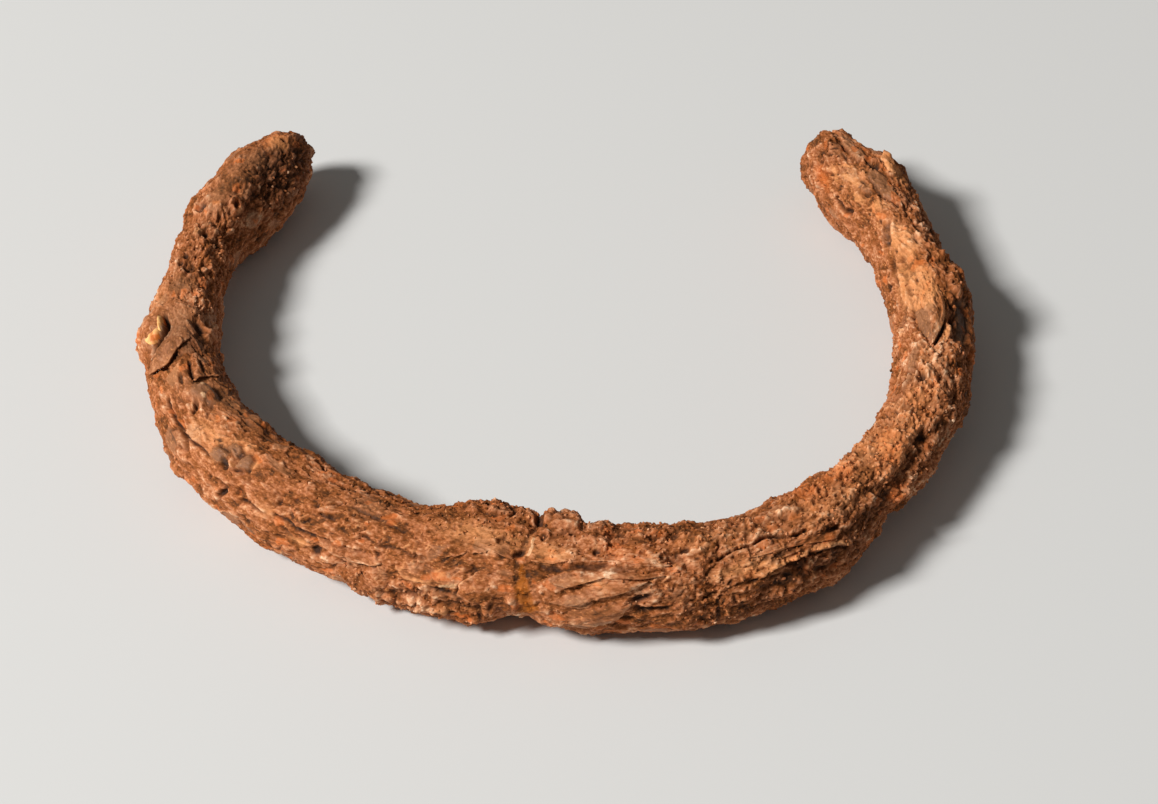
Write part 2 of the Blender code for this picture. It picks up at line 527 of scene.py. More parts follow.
@dataclass(frozen=True)
class Plate:
    """A flat scale of rust with a cornered outline, given by places as (along, around).

    Its rim stands height proud with steep sides, and its middle lies flat. smooth is how far
    it lacks the grain of the crust round it, and gap is the depth of the crack round its rim.
    """

    name: str
    outline: Path
    height: float
    smooth: float = 0.8
    gap: float = 0.15
    rim: float = 0.25
    ragged: float = 0.35

    def inside(self, skin: Skin) -> np.ndarray:
        """Return each point's distance inside the outline, below zero outside it.

        Args:
            skin: the bar's skin.

        Returns:
            The distances in millimetres.
        """
        run, rise = skin.unrolled(*self.outline[0], ragged=self.ragged)
        corners = skin.laid_flat(self.outline)
        nearest = np.full(run.shape, FAR)
        within = np.zeros(run.shape, bool)
        for (x0, y0), (x1, y1) in zip(corners, corners[1:] + corners[:1]):
            length = math.hypot(x1 - x0, y1 - y0)
            ahead_x, ahead_y = (x1 - x0) / length, (y1 - y0) / length
            held = np.clip((run - x0) * ahead_x + (rise - y0) * ahead_y, 0.0, length)
            distance = np.hypot(run - x0 - held * ahead_x, rise - y0 - held * ahead_y)
            nearest = np.minimum(nearest, distance)
            if y0 != y1:
                crossing = x0 + (rise - y0) * (x1 - x0) / (y1 - y0)
                within ^= ((y0 > rise) != (y1 > rise)) & (run < crossing)
        return np.where(within, nearest, -nearest)

    def put_on(self, skin: Skin) -> None:
        """Raise the scale, cut the gap round it, paint shade in the gap and mark it as smooth.

        Args:
            skin: the bar's skin.
        """
        inside = self.inside(skin)
        body = eased(inside / self.rim + 0.5)
        skin.height += self.height * body - self.gap * np.exp(-((inside + 0.12) / 0.2) ** 2)
        plate, dark = skin.layers[Layer.PLATE], skin.layers[Layer.HOLLOW]
        np.maximum(plate, self.smooth * body, out=plate)
        np.maximum(dark, min(1.0, 2.5 * self.gap) * np.exp(-((inside + 0.1) / 0.11) ** 2), out=dark)


@dataclass(frozen=True)
class Cluster(Spot):
    """A crowd of rust nodules, each a steep little dome, over an oval of the skin."""

    count: int
    height: float = 0.35
    smallest: float = 0.35
    largest: float = 0.75

    def put_on(self, skin: Skin) -> None:
        """Raise the nodules and paint shade in the gaps between them.

        Args:
            skin: the bar's skin.
        """
        chance = np.random.default_rng(int(10 * self.along + abs(self.around)))
        across = skin.half_at(self.along)
        rows = skin.rows_near(self.along, self.half_length + 2.5 * self.largest)
        pile = np.zeros(skin.height[rows].shape)
        for _ in range(self.count):
            along, around = self.chance_place(chance, across)
            size = chance.uniform(self.smallest, self.largest)
            squat = chance.uniform(0.8, 1.3)
            nodule = Swelling("nodule", along, around, size * squat, size / squat, 1.0, Edge.FIRM)
            lift = self.height * chance.uniform(0.5, 1.0) * (size / self.largest) ** 0.5
            np.maximum(pile, lift * nodule.shape(*skin.unrolled(along, around, rows)), out=pile)
        run, rise = skin.unrolled(self.along, self.around, rows)
        area = np.exp(-((run / self.half_length) ** 2 + (rise / self.half_width) ** 2) ** 2)
        skin.height[rows] += pile
        gaps, crust = skin.layers[Layer.HOLLOW][rows], skin.layers[Layer.CRUST][rows]
        np.maximum(gaps, 0.3 * area * (1.0 - eased(pile / (0.5 * self.height))), out=gaps)
        np.maximum(crust, 0.7 * area, out=crust)


@dataclass(frozen=True)
class Splinters(Spot):
    """Short fine splinters of pale rust over an oval of the skin, or slits between flakes.

    They lie about the turn, in degrees from the run of the bar, give or take spread. They stand
    height proud and are powdery, or are slits with painted shade inside, where height is below zero.
    """

    count: int
    height: float = 0.12
    turn: float = 25.0
    longest: float = 0.55
    shortest: float = 0.2
    breadth: float = 0.11
    spread: float = 40.0

    def put_on(self, skin: Skin) -> None:
        """Raise or cut the splinters and mark them on their layer.

        Args:
            skin: the bar's skin.
        """
        kind = 100 * (self.height < 0.0)
        chance = np.random.default_rng(int(10 * self.along + abs(self.around) + kind))
        across = skin.half_at(self.along)
        # Slits are marked with painted shade, splinters with powder.
        marked = skin.layers[Layer.POWDER if self.height > 0.0 else Layer.HOLLOW]
        for _ in range(self.count):
            along, around = self.chance_place(chance, across)
            length = chance.uniform(self.shortest, self.longest)
            lean = chance.normal(self.turn, self.spread)
            splinter = Swelling("splinter", along, around, length, self.breadth, 1.0, Edge.FIRM, lean)
            rows = skin.rows_near(along, 2.0 * length)
            shape = splinter.shape(*skin.unrolled(along, around, rows))
            skin.height[rows] += self.height * shape
            np.maximum(marked[rows], chance.uniform(0.3, 0.8) * shape, out=marked[rows])


@dataclass(frozen=True)
class Patch:
    """A patch of one layer, such as granular crust, pale powder or an ochre stain."""

    layer: Layer
    along: float
    around: float
    half_length: float
    half_width: float
    amount: float
    edge: Edge = Edge.SOFT
    turn: float = 0.0

    def put_on(self, skin: Skin) -> None:
        """Add the patch to its layer.

        Args:
            skin: the bar's skin.
        """
        place = self.along, self.around
        size = self.half_length, self.half_width
        spot = Swelling("patch", *place, *size, 1.0, self.edge, self.turn)
        rows = skin.rows_near(self.along, 3.0 * max(size))
        skin.layers[self.layer][rows] += self.amount * spot.shape(*skin.unrolled(*place, rows))


@dataclass(frozen=True)
class BarForm:
    """The smooth bar, as the CAD model has it: its bends, its thickness and its outline.

    bends holds the length and the radius of each bend, from the left terminal to the right, and
    girths half the thickness at places along the bar, as (along, half). The left terminal's
    tip lies at left_terminal, and the bar leaves it towards first_heading, in degrees.
    """

    left_terminal: tuple[float, float] = (-25.44, 32.87)
    first_heading: float = -126.7
    bends: tuple[tuple[float, float], ...] = (
        (22.0, 51.5), (21.0, 33.6), (21.0, 28.9), (21.0, 73.8), (21.0, 26.4), (21.0, 34.1),
        (21.0, 37.7), (20.0, 59.6),
    )
    bend_blend: float = 6.0
    path_step: float = 0.25
    girths: tuple[tuple[float, float], ...] = (
        (0, 2.6), (2.5, 3.15), (6, 3.8), (12, 4.1), (19, 3.25), (27, 3.4), (36, 3.5), (46, 3.95),
        (56, 4.45), (66, 4.4), (75, 4.9), (85, 4.7), (96, 4.45), (107, 4.15), (116, 3.35),
        (125, 3.3), (134, 3.65), (144, 3.85), (152, 3.45), (159, 4), (164, 3.6), (168, 3.2),
    )
    centre_height: float = 4.5
    end_rounding: float = 2.2
    outline: tuple[Swelling, ...] = (
        Swelling("worn inner corner of left tip", 0.8, 185, 2.4, 3, -0.8),
        Swelling("inner waist of left arm", 16.5, 172, 6, 3.2, -0.6),
        Swelling("waist of left arm", 25, 22, 4, 2.4, -0.5),
        Swelling("outer swelling of left bend", 45.5, 355, 3.4, 2.4, 0.4),
        Swelling("outer hollow after left bend", 54, 330, 3, 3, -0.3),
        Swelling("inner swelling after left bend", 57, 132, 3, 2.6, 0.3),
        Swelling("inner saddle at front left", 69.5, 128, 5, 3, -0.9),
        Swelling("lower swelling at front left", 71.5, 318, 6, 3, 0.65),
        Swelling("crest before mended break", 77.2, 125, 2.4, 2.4, 0.5),
        Swelling("lower notch at mended break", 80.4, 322, 2.2, 3, -1.3),
        Swelling("crest after mended break", 83.2, 126, 1.9, 2.4, 0.7),
        Swelling("lower swelling at front right", 95.5, 318, 3.5, 2.5, 0.35),
        Swelling("inner saddle at front right", 102, 126, 6, 3, -0.65),
        Swelling("outer swelling before right bend", 106.5, 335, 5, 3, 0.6),
        Swelling("outer notch at right bend", 113.2, 345, 2.6, 3, -0.95),
        Swelling("outer swelling after right bend", 128, 0, 2.4, 2.4, 0.4),
        Swelling("step above crusty flake", 147.5, 24, 1.8, 2.8, -1),
        Swelling("waist of right arm", 151.5, 20, 2.2, 2.4, -0.4),
        Swelling("outer shoulder of right terminal", 160, 30, 2.2, 2.4, 0.5),
        Swelling("worn outer corner of right tip", 164.4, 30, 2.4, 2.4, -0.9),
        Swelling("foot of left terminal", 9, 270, 4.5, 3, 0.75),
        Swelling("foot of right terminal", 160, 270, 4.5, 3, 0.95),
    )

    def length(self) -> float:
        """Return the whole length of the bar along its centreline."""
        return sum(length for length, _ in self.bends)

    def centreline(self) -> tuple[np.ndarray, ...]:
        """Return places along the bar with the centreline's x, y and heading there."""
        step = self.path_step
        places = np.arange(0.0, self.length() + step / 2, step)
        curvature = np.full(len(places), 1.0 / self.bends[0][1])
        joint = 0.0
        for (length, radius), (_, next_radius) in zip(self.bends[:-1], self.bends[1:]):
            joint += length
            share = eased((places - joint) / self.bend_blend + 0.5)
            curvature += share * (1.0 / next_radius - 1.0 / radius)
        turned = np.cumsum((curvature[1:] + curvature[:-1]) / 2 * step)
        heading = math.radians(self.first_heading) + np.concatenate(([0.0], turned))
        middle = (heading[1:] + heading[:-1]) / 2
        x = self.left_terminal[0] + np.concatenate(([0.0], np.cumsum(np.cos(middle) * step)))
        y = self.left_terminal[1] + np.concatenate(([0.0], np.cumsum(np.sin(middle) * step)))
        return places, x, y, heading

    def half_thickness(self, places: np.ndarray) -> np.ndarray:
        """Return half the bar's thickness at each place: a smooth curve through the girths.

        Args:
            places: places along the bar.

        Returns:
            The half thicknesses.
        """
        knots, values = np.array(self.girths).T
        slopes = np.gradient(values, knots)
        index = np.clip(np.searchsorted(knots, places, side="right") - 1, 0, len(knots) - 2)
        span = knots[index + 1] - knots[index]
        u = np.clip((places - knots[index]) / span, 0.0, 1.0)
        start = (1.0 + 2.0 * u) * (1.0 - u) ** 2 * values[index]
        leave = u * (1.0 - u) ** 2 * span * slopes[index]
        end = u ** 2 * (3.0 - 2.0 * u) * values[index + 1]
        arrive = u ** 2 * (u - 1.0) * span * slopes[index + 1]
        return start + leave + end + arrive

    def rounding(self, places: np.ndarray) -> np.ndarray:
        """Return the share of the full thickness that the rounded ends leave at each place.

        Args:
            places: places along the bar.

        Returns:
            The shares, 0 at the tips and 1 from where the rounding starts.
        """
        from_end = np.minimum(places, self.length() - places)
        short = np.clip(self.end_rounding - from_end, 0.0, self.end_rounding) / self.end_rounding
        return np.sqrt(np.clip(1.0 - short ** 2, 0.0, 1.0))

    def outline_lift(self, along: np.ndarray, around: np.ndarray, half: np.ndarray) -> np.ndarray:
        """Return how far the outline's swellings lift each point of the grid.

        Args:
            along, around: the points' places in millimetres and angles in radians.
            half: half the bar's thickness at the places.

        Returns:
            The lifts in millimetres.
        """
        total = np.zeros(np.broadcast(along, around).shape)
        for lump in self.outline:
            turn = (around - math.radians(lump.around) + math.pi) % (2.0 * math.pi) - math.pi
            total += lump.height * lump.shape(along - lump.along, turn * half)
        return total

    def surface(self, along: np.ndarray, around: np.ndarray) -> np.ndarray:
        """Return the smooth bar's points, in millimetres.

        Args:
            along, around: the rings' places in millimetres and the points' angles in radians.

        Returns:
            The points as a ring-by-side grid.
        """
        path, path_x, path_y, path_heading = self.centreline()
        half = self.half_thickness(along)[:, None]
        lift = self.outline_lift(along[:, None], around[None, :], half)
        radius = (half + lift) * self.rounding(along)[:, None]
        heading = np.interp(along, path, path_heading)
        outward = np.stack((np.sin(heading), -np.cos(heading), np.zeros(len(along))), axis=-1)
        centre = np.stack((
            np.interp(along, path, path_x),
            np.interp(along, path, path_y),
            np.full(len(along), self.centre_height),
        ), axis=-1)
        up = np.array((0.0, 0.0, 1.0))
        spoke = np.cos(around)[None, :, None] * outward[:, None, :]
        spoke = spoke + np.sin(around)[None, :, None] * up
        return centre[:, None, :] + radius[:, :, None] * spoke


# Everything that can be named on the face of the bar, from the left terminal round to the right.
# The dark in pits, cracks, slits, gaps and undersides is painted shade.
LEFT_ARM = (
    Fault("small crack on left tip", ((4.4, 92), (5.2, 86)), 0.3, 0.35),
    Pit("dot on left tip", 3.6, 96, 0.28, 0.4),
    Swelling("inner slope of left terminal", 7, 132, 7, 2.4, -0.6, Edge.FIRM),
    Swelling("crown ridge of left terminal", 8, 84, 7, 1.6, 0.2),
    Cluster("inner nodules of left terminal", 8.6, 138, 5.4, 2.6, 40, 0.3, 0.25, 0.6),
    Splinters("bright tips of inner nodules", 9, 132, 5, 2.2, 26, 0.1, 20, 0.3),
    Fault("ridge of left terminal", ((6, 112), (8.8, 115), (11.4, 112)), 0.6, -0.2),
    Fault("ledge on left terminal", ((11.6, 74), (12.7, 62), (13.5, 53), (14.6, 48)), 0.34, 0.6, 0.22, 1.6),
    Pit("dimple on left terminal", 16.1, 64, 0.6, 0.3, 0.14, 0.5),
    Swelling("blister on left terminal", 15.4, 87, 1.5, 1.2, 0.4, Edge.FIRM),
    Fault("slit beside blister", ((14.2, 103), (15.2, 103)), 0.3, 0.4),
    Swelling("knot round crater", 14.9, 115, 0.9, 0.9, 0.45, Edge.FIRM),
    Pit("crater on left terminal", 14.9, 115, 0.45, 0.3, 0.12, 0.6),
    Cluster("crumbs round knots", 19.6, 96, 1.8, 2.2, 10, 0.25, 0.3, 0.5),
    Swelling("pale knot above left waist", 20.1, 85, 0.55, 0.5, 0.45, Edge.FIRM),
    Swelling("outer knot above left waist", 18.8, 90, 0.6, 0.5, 0.4, Edge.FIRM),
    Swelling("inner knot above left waist", 19.3, 106, 0.6, 0.55, 0.45, Edge.FIRM),
    Pit("pit between knots", 20.2, 97, 0.5, 0.5),
    Pit("pit beside pale knot", 19.2, 79, 0.35, 0.4),
    Pit("pit inside knots", 20.6, 118, 0.5, 0.5),
    Swelling("inner knot on left arm", 21.4, 140, 1.2, 1, 0.45, Edge.FIRM),
    Cluster("pitted crust of left arm", 24.6, 96, 2.6, 2.6, 26, 0.3),
    Pit("first pit of crust", 23.5, 81, 0.3, 0.35),
    Pit("second pit of crust", 24.5, 75, 0.3, 0.35),
    Pit("third pit of crust", 25.6, 90, 0.3, 0.35),
    Cluster("inner nodules of left arm", 29.5, 126, 3, 1.6, 16, 0.3),
    Swelling("boss with pale chip", 32.8, 18, 2.3, 2.5, 0.8, Edge.FIRM),
    Fault(
        "hollow beside pale chip",
        ((31.6, 64), (32.4, 68), (33.3, 70), (34.2, 69), (34.9, 63), (35.5, 56), (36, 47), (36, 38)),
        0.6, 1.1,
    ),
    Fault("shade inside overlapping scale", ((32.6, 108), (34.4, 122), (35.2, 132)), 0.9, 0.5),
    Swelling("crusty lump at scale's upper edge", 34.6, 136, 1, 0.9, 0.5, Edge.FIRM),
    Fault("dark notch under scale", ((38.2, 30), (39.2, 27)), 0.4, 0.45),
    Fault("long crack beside rib", ((38.9, 93), (40.2, 92), (41.3, 89), (42.5, 91)), 0.3, 0.5, 0.12, 0.8),
    Fault("second crack beside rib", ((40.2, 77), (41.2, 73), (42.4, 74)), 0.34, 0.3, 0.1, 0.8),
    Swelling("long rib on left arm", 40.4, 99, 1.8, 0.4, 0.22, Edge.FIRM),
    Fault("crack behind rib", ((38.8, 106), (40.2, 109), (41.6, 106)), 0.34, 0.3),
    Swelling("recess round grey blister", 44.8, 95, 2.2, 1.8, -0.2, Edge.FIRM),
    Swelling("grey blister on left bend", 44.4, 92, 1.5, 0.95, 0.75, Edge.FIRM, 20),
    Swelling("bead on grey blister", 43.7, 94, 0.45, 0.32, 0.22, Edge.FIRM),
    Swelling("second bead on grey blister", 45.1, 88, 0.42, 0.32, 0.22, Edge.FIRM),
    Fault("shade behind grey blister", ((42.8, 108), (43.9, 113), (45, 110), (46.2, 102)),
          0.7, 0.1, dark=0.4),
    Fault("short curved crack", ((44.6, 79), (45.4, 72), (45.7, 66), (45.5, 60)), 0.42, 0.8, 0.14, 0.8),
    Fault(
        "long crack of left bend",
        ((41.9, 50), (42.3, 43), (44.4, 39), (45.9, 38), (47.3, 41), (48.6, 40.5), (49.7, 43.5), (51.2, 44)),
        0.26, 0.5, -0.22, 1.2,
    ),
    Plate("dark scale beside long crack", ((45.4, 24), (45.8, 34), (47.2, 37), (48.2, 30), (47, 22)),
          0.1, 0.5),
    Splinters("splinters of left bend", 49.6, 70, 5, 2.2, 46, 0.08),
    Splinters("slits of left bend", 50, 62, 5, 3, 12, -0.12),
    Swelling("inner bump of left bend", 49.9, 136, 1, 0.8, 0.35, Edge.FIRM),
    Fault("inner crease of left bend", ((45.6, 116), (48.4, 118), (51.6, 112), (54.4, 114)),
          0.4, 0.15, 0.1, 1.6, dark=0.4),
)

FRONT = (
    Plate("first flat scale", ((50.9, 46), (50.5, 59), (51.5, 65), (52.5, 63), (52.6, 52), (52, 46)),
          0.1, 0.95, 0.15, 0.1),
    Plate("second flat scale", ((51.8, 66), (51.9, 77), (52.8, 81), (53.5, 74), (53.1, 65)),
          0.12, 0.95, 0.15, 0.1),
    Plate("third flat scale", ((53.7, 55), (53.6, 68), (54, 78), (54.8, 74), (55.1, 62)),
          0.1, 0.95, 0.15, 0.1),
    Fault("crack over first flat scale", ((51, 63), (51.8, 64), (52.6, 62)), 0.2, 0.3, taper=0.3),
    Fault("crack under second flat scale", ((53.4, 78), (53.3, 72), (53.1, 66)), 0.22, 0.3, taper=0.3),
    Pit("first pit under flat scales", 52.4, 51, 0.24, 0.35),
    Pit("second pit under flat scales", 52.9, 48, 0.24, 0.35),
    Pit("third pit under flat scales", 51.8, 27, 0.22, 0.3),
    Fault("outer notch after left bend", ((54.2, 29), (53.7, 20), (53.3, 12), (53.7, 3)),
          0.5, 0.6, 0.15, 1.2),
    Fault("second outer notch", ((56, 12), (56.6, 6), (56.2, -2)), 0.5, 0.5),
    Fault("step beside notches", ((55.2, 24), (56.8, 31), (58.6, 26)), 0.4, 0.4, 0.15, 1.2),
    Fault("upper slit on front left", ((56.4, 97), (56.8, 87)), 0.36, 0.45),
    Fault("slit on front left", ((59.1, 68), (59.8, 60)), 0.4, 0.45),
    Fault("low slit on front left", ((59.6, 24), (60.4, 18), (61.2, 13)), 0.45, 0.5, 0.15, 1.2),
    Swelling("round blister on front left", 63.2, 61, 0.8, 0.6, 0.28, Edge.FIRM),
    Fault("shade under blister", ((62.6, 55), (63.4, 51), (64.4, 55)), 0.3, 0.35),
    Fault("ledge on front left", ((58.6, 34), (61.6, 30), (64.6, 24), (67.6, 26)), 0.4, 0.35, 0.25, 1.8),
    Pit("hole low on front left", 63.2, 6, 0.36, 0.35),
    Fault("slit before block", ((69.2, 54), (69.6, 46)), 0.34, 0.4),
    Fault("fold before block", ((66.6, 46), (68.6, 40), (70.6, 42), (72.4, 36)),
          0.3, 0.22, 0.12, 1.4, dark=0.7),
    Splinters("splinters of front left", 66, 50, 7, 3.2, 70, 0.09),
    Splinters("slits of front left", 66, 45, 7, 3.6, 30, -0.14),
    Fault("second fold before block", ((64.4, 74), (67.4, 68), (70.4, 62)), 0.3, 0.12, 0.1, 1.4, dark=0.5),
    Swelling("shelf under block", 77, 40, 4, 1, -0.25),
    Fault("cleft in block", ((76.2, 134), (76.4, 120), (77, 110)), 0.5, 0.6),
    Fault("cleft before break", ((78.4, 124), (79.2, 112), (78.6, 102)), 0.45, 0.5),
    Pit("ring pit on block", 78.6, 74, 0.45, 0.3, 0.16, 0.45),
    Pit("pit at block's edge", 79.2, 58, 0.35, 0.35),
    Pit("pit at break's edge", 80.4, 60, 0.3, 0.3, 0, 0.6),
    Fault("mended break", ((81, 158), (81.4, 128), (81.3, 104), (80.9, 96)), 0.9, 0.8, dark=0.9),
    Fault("mended break, upper face", ((81.2, 100), (80.8, 84), (80.8, 66), (80.4, 50)),
          0.5, 0.3, 0.14, 0.9, dark=0.6, taper=0.2),
    Fault("crack along stain", ((80.3, 50), (80.4, 36), (80.8, 20), (80.7, 2)),
          0.22, 0.12, -0.1, 0.8, dark=0.4, taper=0.25),
    Fault("groove of ochre stain", ((81, 48), (81.3, 30), (81.6, 12), (81.6, -8)), 1, 0.18, dark=0),
    Cluster("grains in stain", 81.4, 18, 0.6, 2.2, 16, 0.14, 0.16, 0.32),
    Fault("pale line on break", ((81.3, 84), (81.4, 70), (81.2, 58)),
          0.34, 0, dark=1.8, taper=0.3, layer=Layer.PALE),
    Fault("ochre stain in break", ((81.2, 51), (81, 40), (81.1, 30), (81.4, 16), (81.8, 6), (81.7, -6)),
          0.8, 0, dark=1.3, layer=Layer.STAIN),
    Cluster("low crumbs of front left", 68.6, -24, 3, 1.4, 16, 0.4, 0.35, 0.7),
    Cluster("crust under low scale", 72.4, -8, 2.6, 1.6, 26, 0.3, 0.3, 0.6),
    Swelling("broad lump of low edge", 72.7, -12, 1, 0.9, 0.4, Edge.FIRM),
    Swelling("lump with bright tip", 74.4, -17, 0.7, 0.9, 0.55, Edge.FIRM),
    Cluster("crumbs beside bright tip", 76.2, -16, 1.3, 1.3, 18, 0.5, 0.3, 0.6),
    Swelling("round lump of low edge", 77.7, 10, 1, 0.9, 0.35, Edge.FIRM),
    Swelling("lump round small hole", 78.4, -4, 0.6, 0.8, 0.6, Edge.FIRM),
    Swelling("lump before stain", 80.2, 8, 0.6, 0.9, 0.35, Edge.FIRM),
    Cluster("crumbs before stain", 80.2, -12, 0.7, 1.2, 9, 0.4, 0.3, 0.55),
    Pit("small hole of lump", 78.6, 2, 0.2, 0.25, 0, 0.5),
    Pit("recess under low scale", 76.1, 3, 0.3, 0.15, 0, 0.35),
    Fault("crack over low lumps", ((76.1, 20), (76.5, 24), (77, 24), (77.6, 21)), 0.28, 0.35),
    Fault("first gap of low edge", ((72.4, -6), (72.3, -14), (71.6, -24)), 0.4, 0.4),
    Fault("second gap of low edge", ((75, -8), (75.1, -16), (74.9, -28)), 0.3, 0.3),
    Fault("third gap of low edge", ((77.2, -8), (77.5, -16), (77.6, -30)), 0.28, 0.25),
    Fault("notch before stain", ((79.2, 0), (79.4, -10), (79.5, -24)), 0.36, 0.4),
    Fault("bright flake of low scale", ((74.3, 16), (75.1, 19), (76, 19)), 0.5, -0.14),
    Fault("powder on bright flake", ((74.2, 16), (75.1, 19), (76.1, 19)),
          0.5, 0, dark=1.3, taper=0.3, layer=Layer.PALE),
    Splinters("splinters round low scale", 74.6, 14, 4, 2.6, 50, 0.1),
    Splinters("slits round low scale", 75.6, 24, 4.6, 3.4, 26, -0.14),
    Cluster("nodules of crest before break", 77.6, 118, 3, 1.8, 20, 0.35),
    Cluster("nodules of crest after break", 83, 112, 1.7, 2.4, 18, 0.5, 0.4, 0.75),
    Pit("pit before nodules", 82.2, 84, 0.3, 0.3, 0.1, 0.5),
    Swelling("dip after crest", 85.6, 126, 0.9, 1.8, -0.4),
    Cluster("crumbs along upper edge", 90, 116, 4.5, 2.2, 26, 0.28, 0.3, 0.6),
    Fault("shade under upper band", ((82, 51), (84.7, 54), (87.4, 58), (90.4, 52)), 0.8, 0.3, dark=0.6),
    Pit("first pit of upper band", 86.8, 76, 0.28, 0.35),
    Pit("second pit of upper band", 88, 72, 0.28, 0.35),
    Pit("third pit of upper band", 94.1, 71, 0.32, 0.4),
    Pit("hole beside layered scale", 90.2, 23, 0.6, 0.6),
    Fault("dark slit beside scale", ((89.4, 14), (90.7, 8), (92.8, 9)), 0.55, 0.6),
    Fault("first curved ridge", ((94.4, 92), (95.4, 86), (95.2, 77)), 0.36, -0.18),
    Fault("second curved ridge", ((96.4, 88), (97.4, 80), (96.8, 71)), 0.36, -0.18),
    Fault("curved pale crack", ((96.6, 18), (95.9, 9), (96.1, -12), (96.1, -34)),
          0.28, 0.3, -0.15, 0.9, dark=0.7),
    Fault(
        "long crack of front right",
        (
            (96.2, 56), (97, 59), (98.4, 63), (100.1, 65), (101, 66), (101.9, 64), (102.7, 58), (103.5, 56),
            (104.9, 58),
        ),
        0.22, 0.5, 0.14, 1.4, dark=0.9,
    ),
    Fault("shaded ledge of front right", ((99.8, 36), (101, 43), (103.6, 45), (105.3, 42), (107.6, 41)),
          0.5, 0.25, dark=0.8),
    Cluster("granular middle of front right", 98.6, 38, 2.4, 0.9, 20, 0.22, 0.25, 0.45),
    Splinters("splinters of front right", 100, 64, 9, 4.4, 110, 0.09, 60, 0.4),
    Splinters("slits of front right", 100, 60, 9, 4.6, 30, -0.12, 60, 0.4),
    Splinters("splinters of low front right", 100, 4, 7, 3, 60, 0.1, 60, 0.4),
    Splinters("slits of low front right", 101, 6, 7, 3, 40, -0.2, 60, 0.4),
    Fault("hollow under lifted scale", ((99.8, 14), (102.7, 17), (104.6, 13), (107, 8)), 1.9, 0.5, dark=0.75),
    Fault(
        "free edge of lifted scale",
        (
            (98.6, 24), (99.6, 25), (100.3, 29), (101.2, 30), (102.8, 28), (104, 28), (105.6, 26),
            (106.6, 21), (107.8, 14),
        ),
        0.34, 0.4, 0.45, 0.8, taper=0.6,
    ),
    # A painted highlight along the lifted scale's lip, laid on the powder layer.
    Fault(
        "pale lip of lifted scale",
        ((98.8, 28), (100.3, 34), (101.2, 35), (102.8, 33), (104, 33), (105.6, 31), (106.6, 26), (107.8, 19)),
        0.36, 0, dark=2, layer=Layer.POWDER,
    ),
    Fault(
        "thin bright edge of lifted scale",
        ((99, 27), (100.3, 32), (101.2, 33), (102.8, 31), (104, 31), (105.6, 29), (106.6, 24), (107.8, 17)),
        0.24, -0.16,
    ),
    Cluster("crust in hollow", 103.4, 12, 3.4, 1.5, 34, 0.3, 0.3, 0.6),
    Cluster("lower crust of front right", 98.5, -14, 6, 2.6, 52, 0.32, 0.35, 0.7),
    Cluster("upper crust of front right", 99, 100, 8, 2.6, 60, 0.22, 0.3, 0.6),
    Swelling("bump before right bend", 106.8, 101, 1.4, 1.1, 0.4, Edge.FIRM),
    Fault("crack round bump", ((108.4, 112), (108.2, 98), (107.4, 88)), 0.42, 0.5),
)

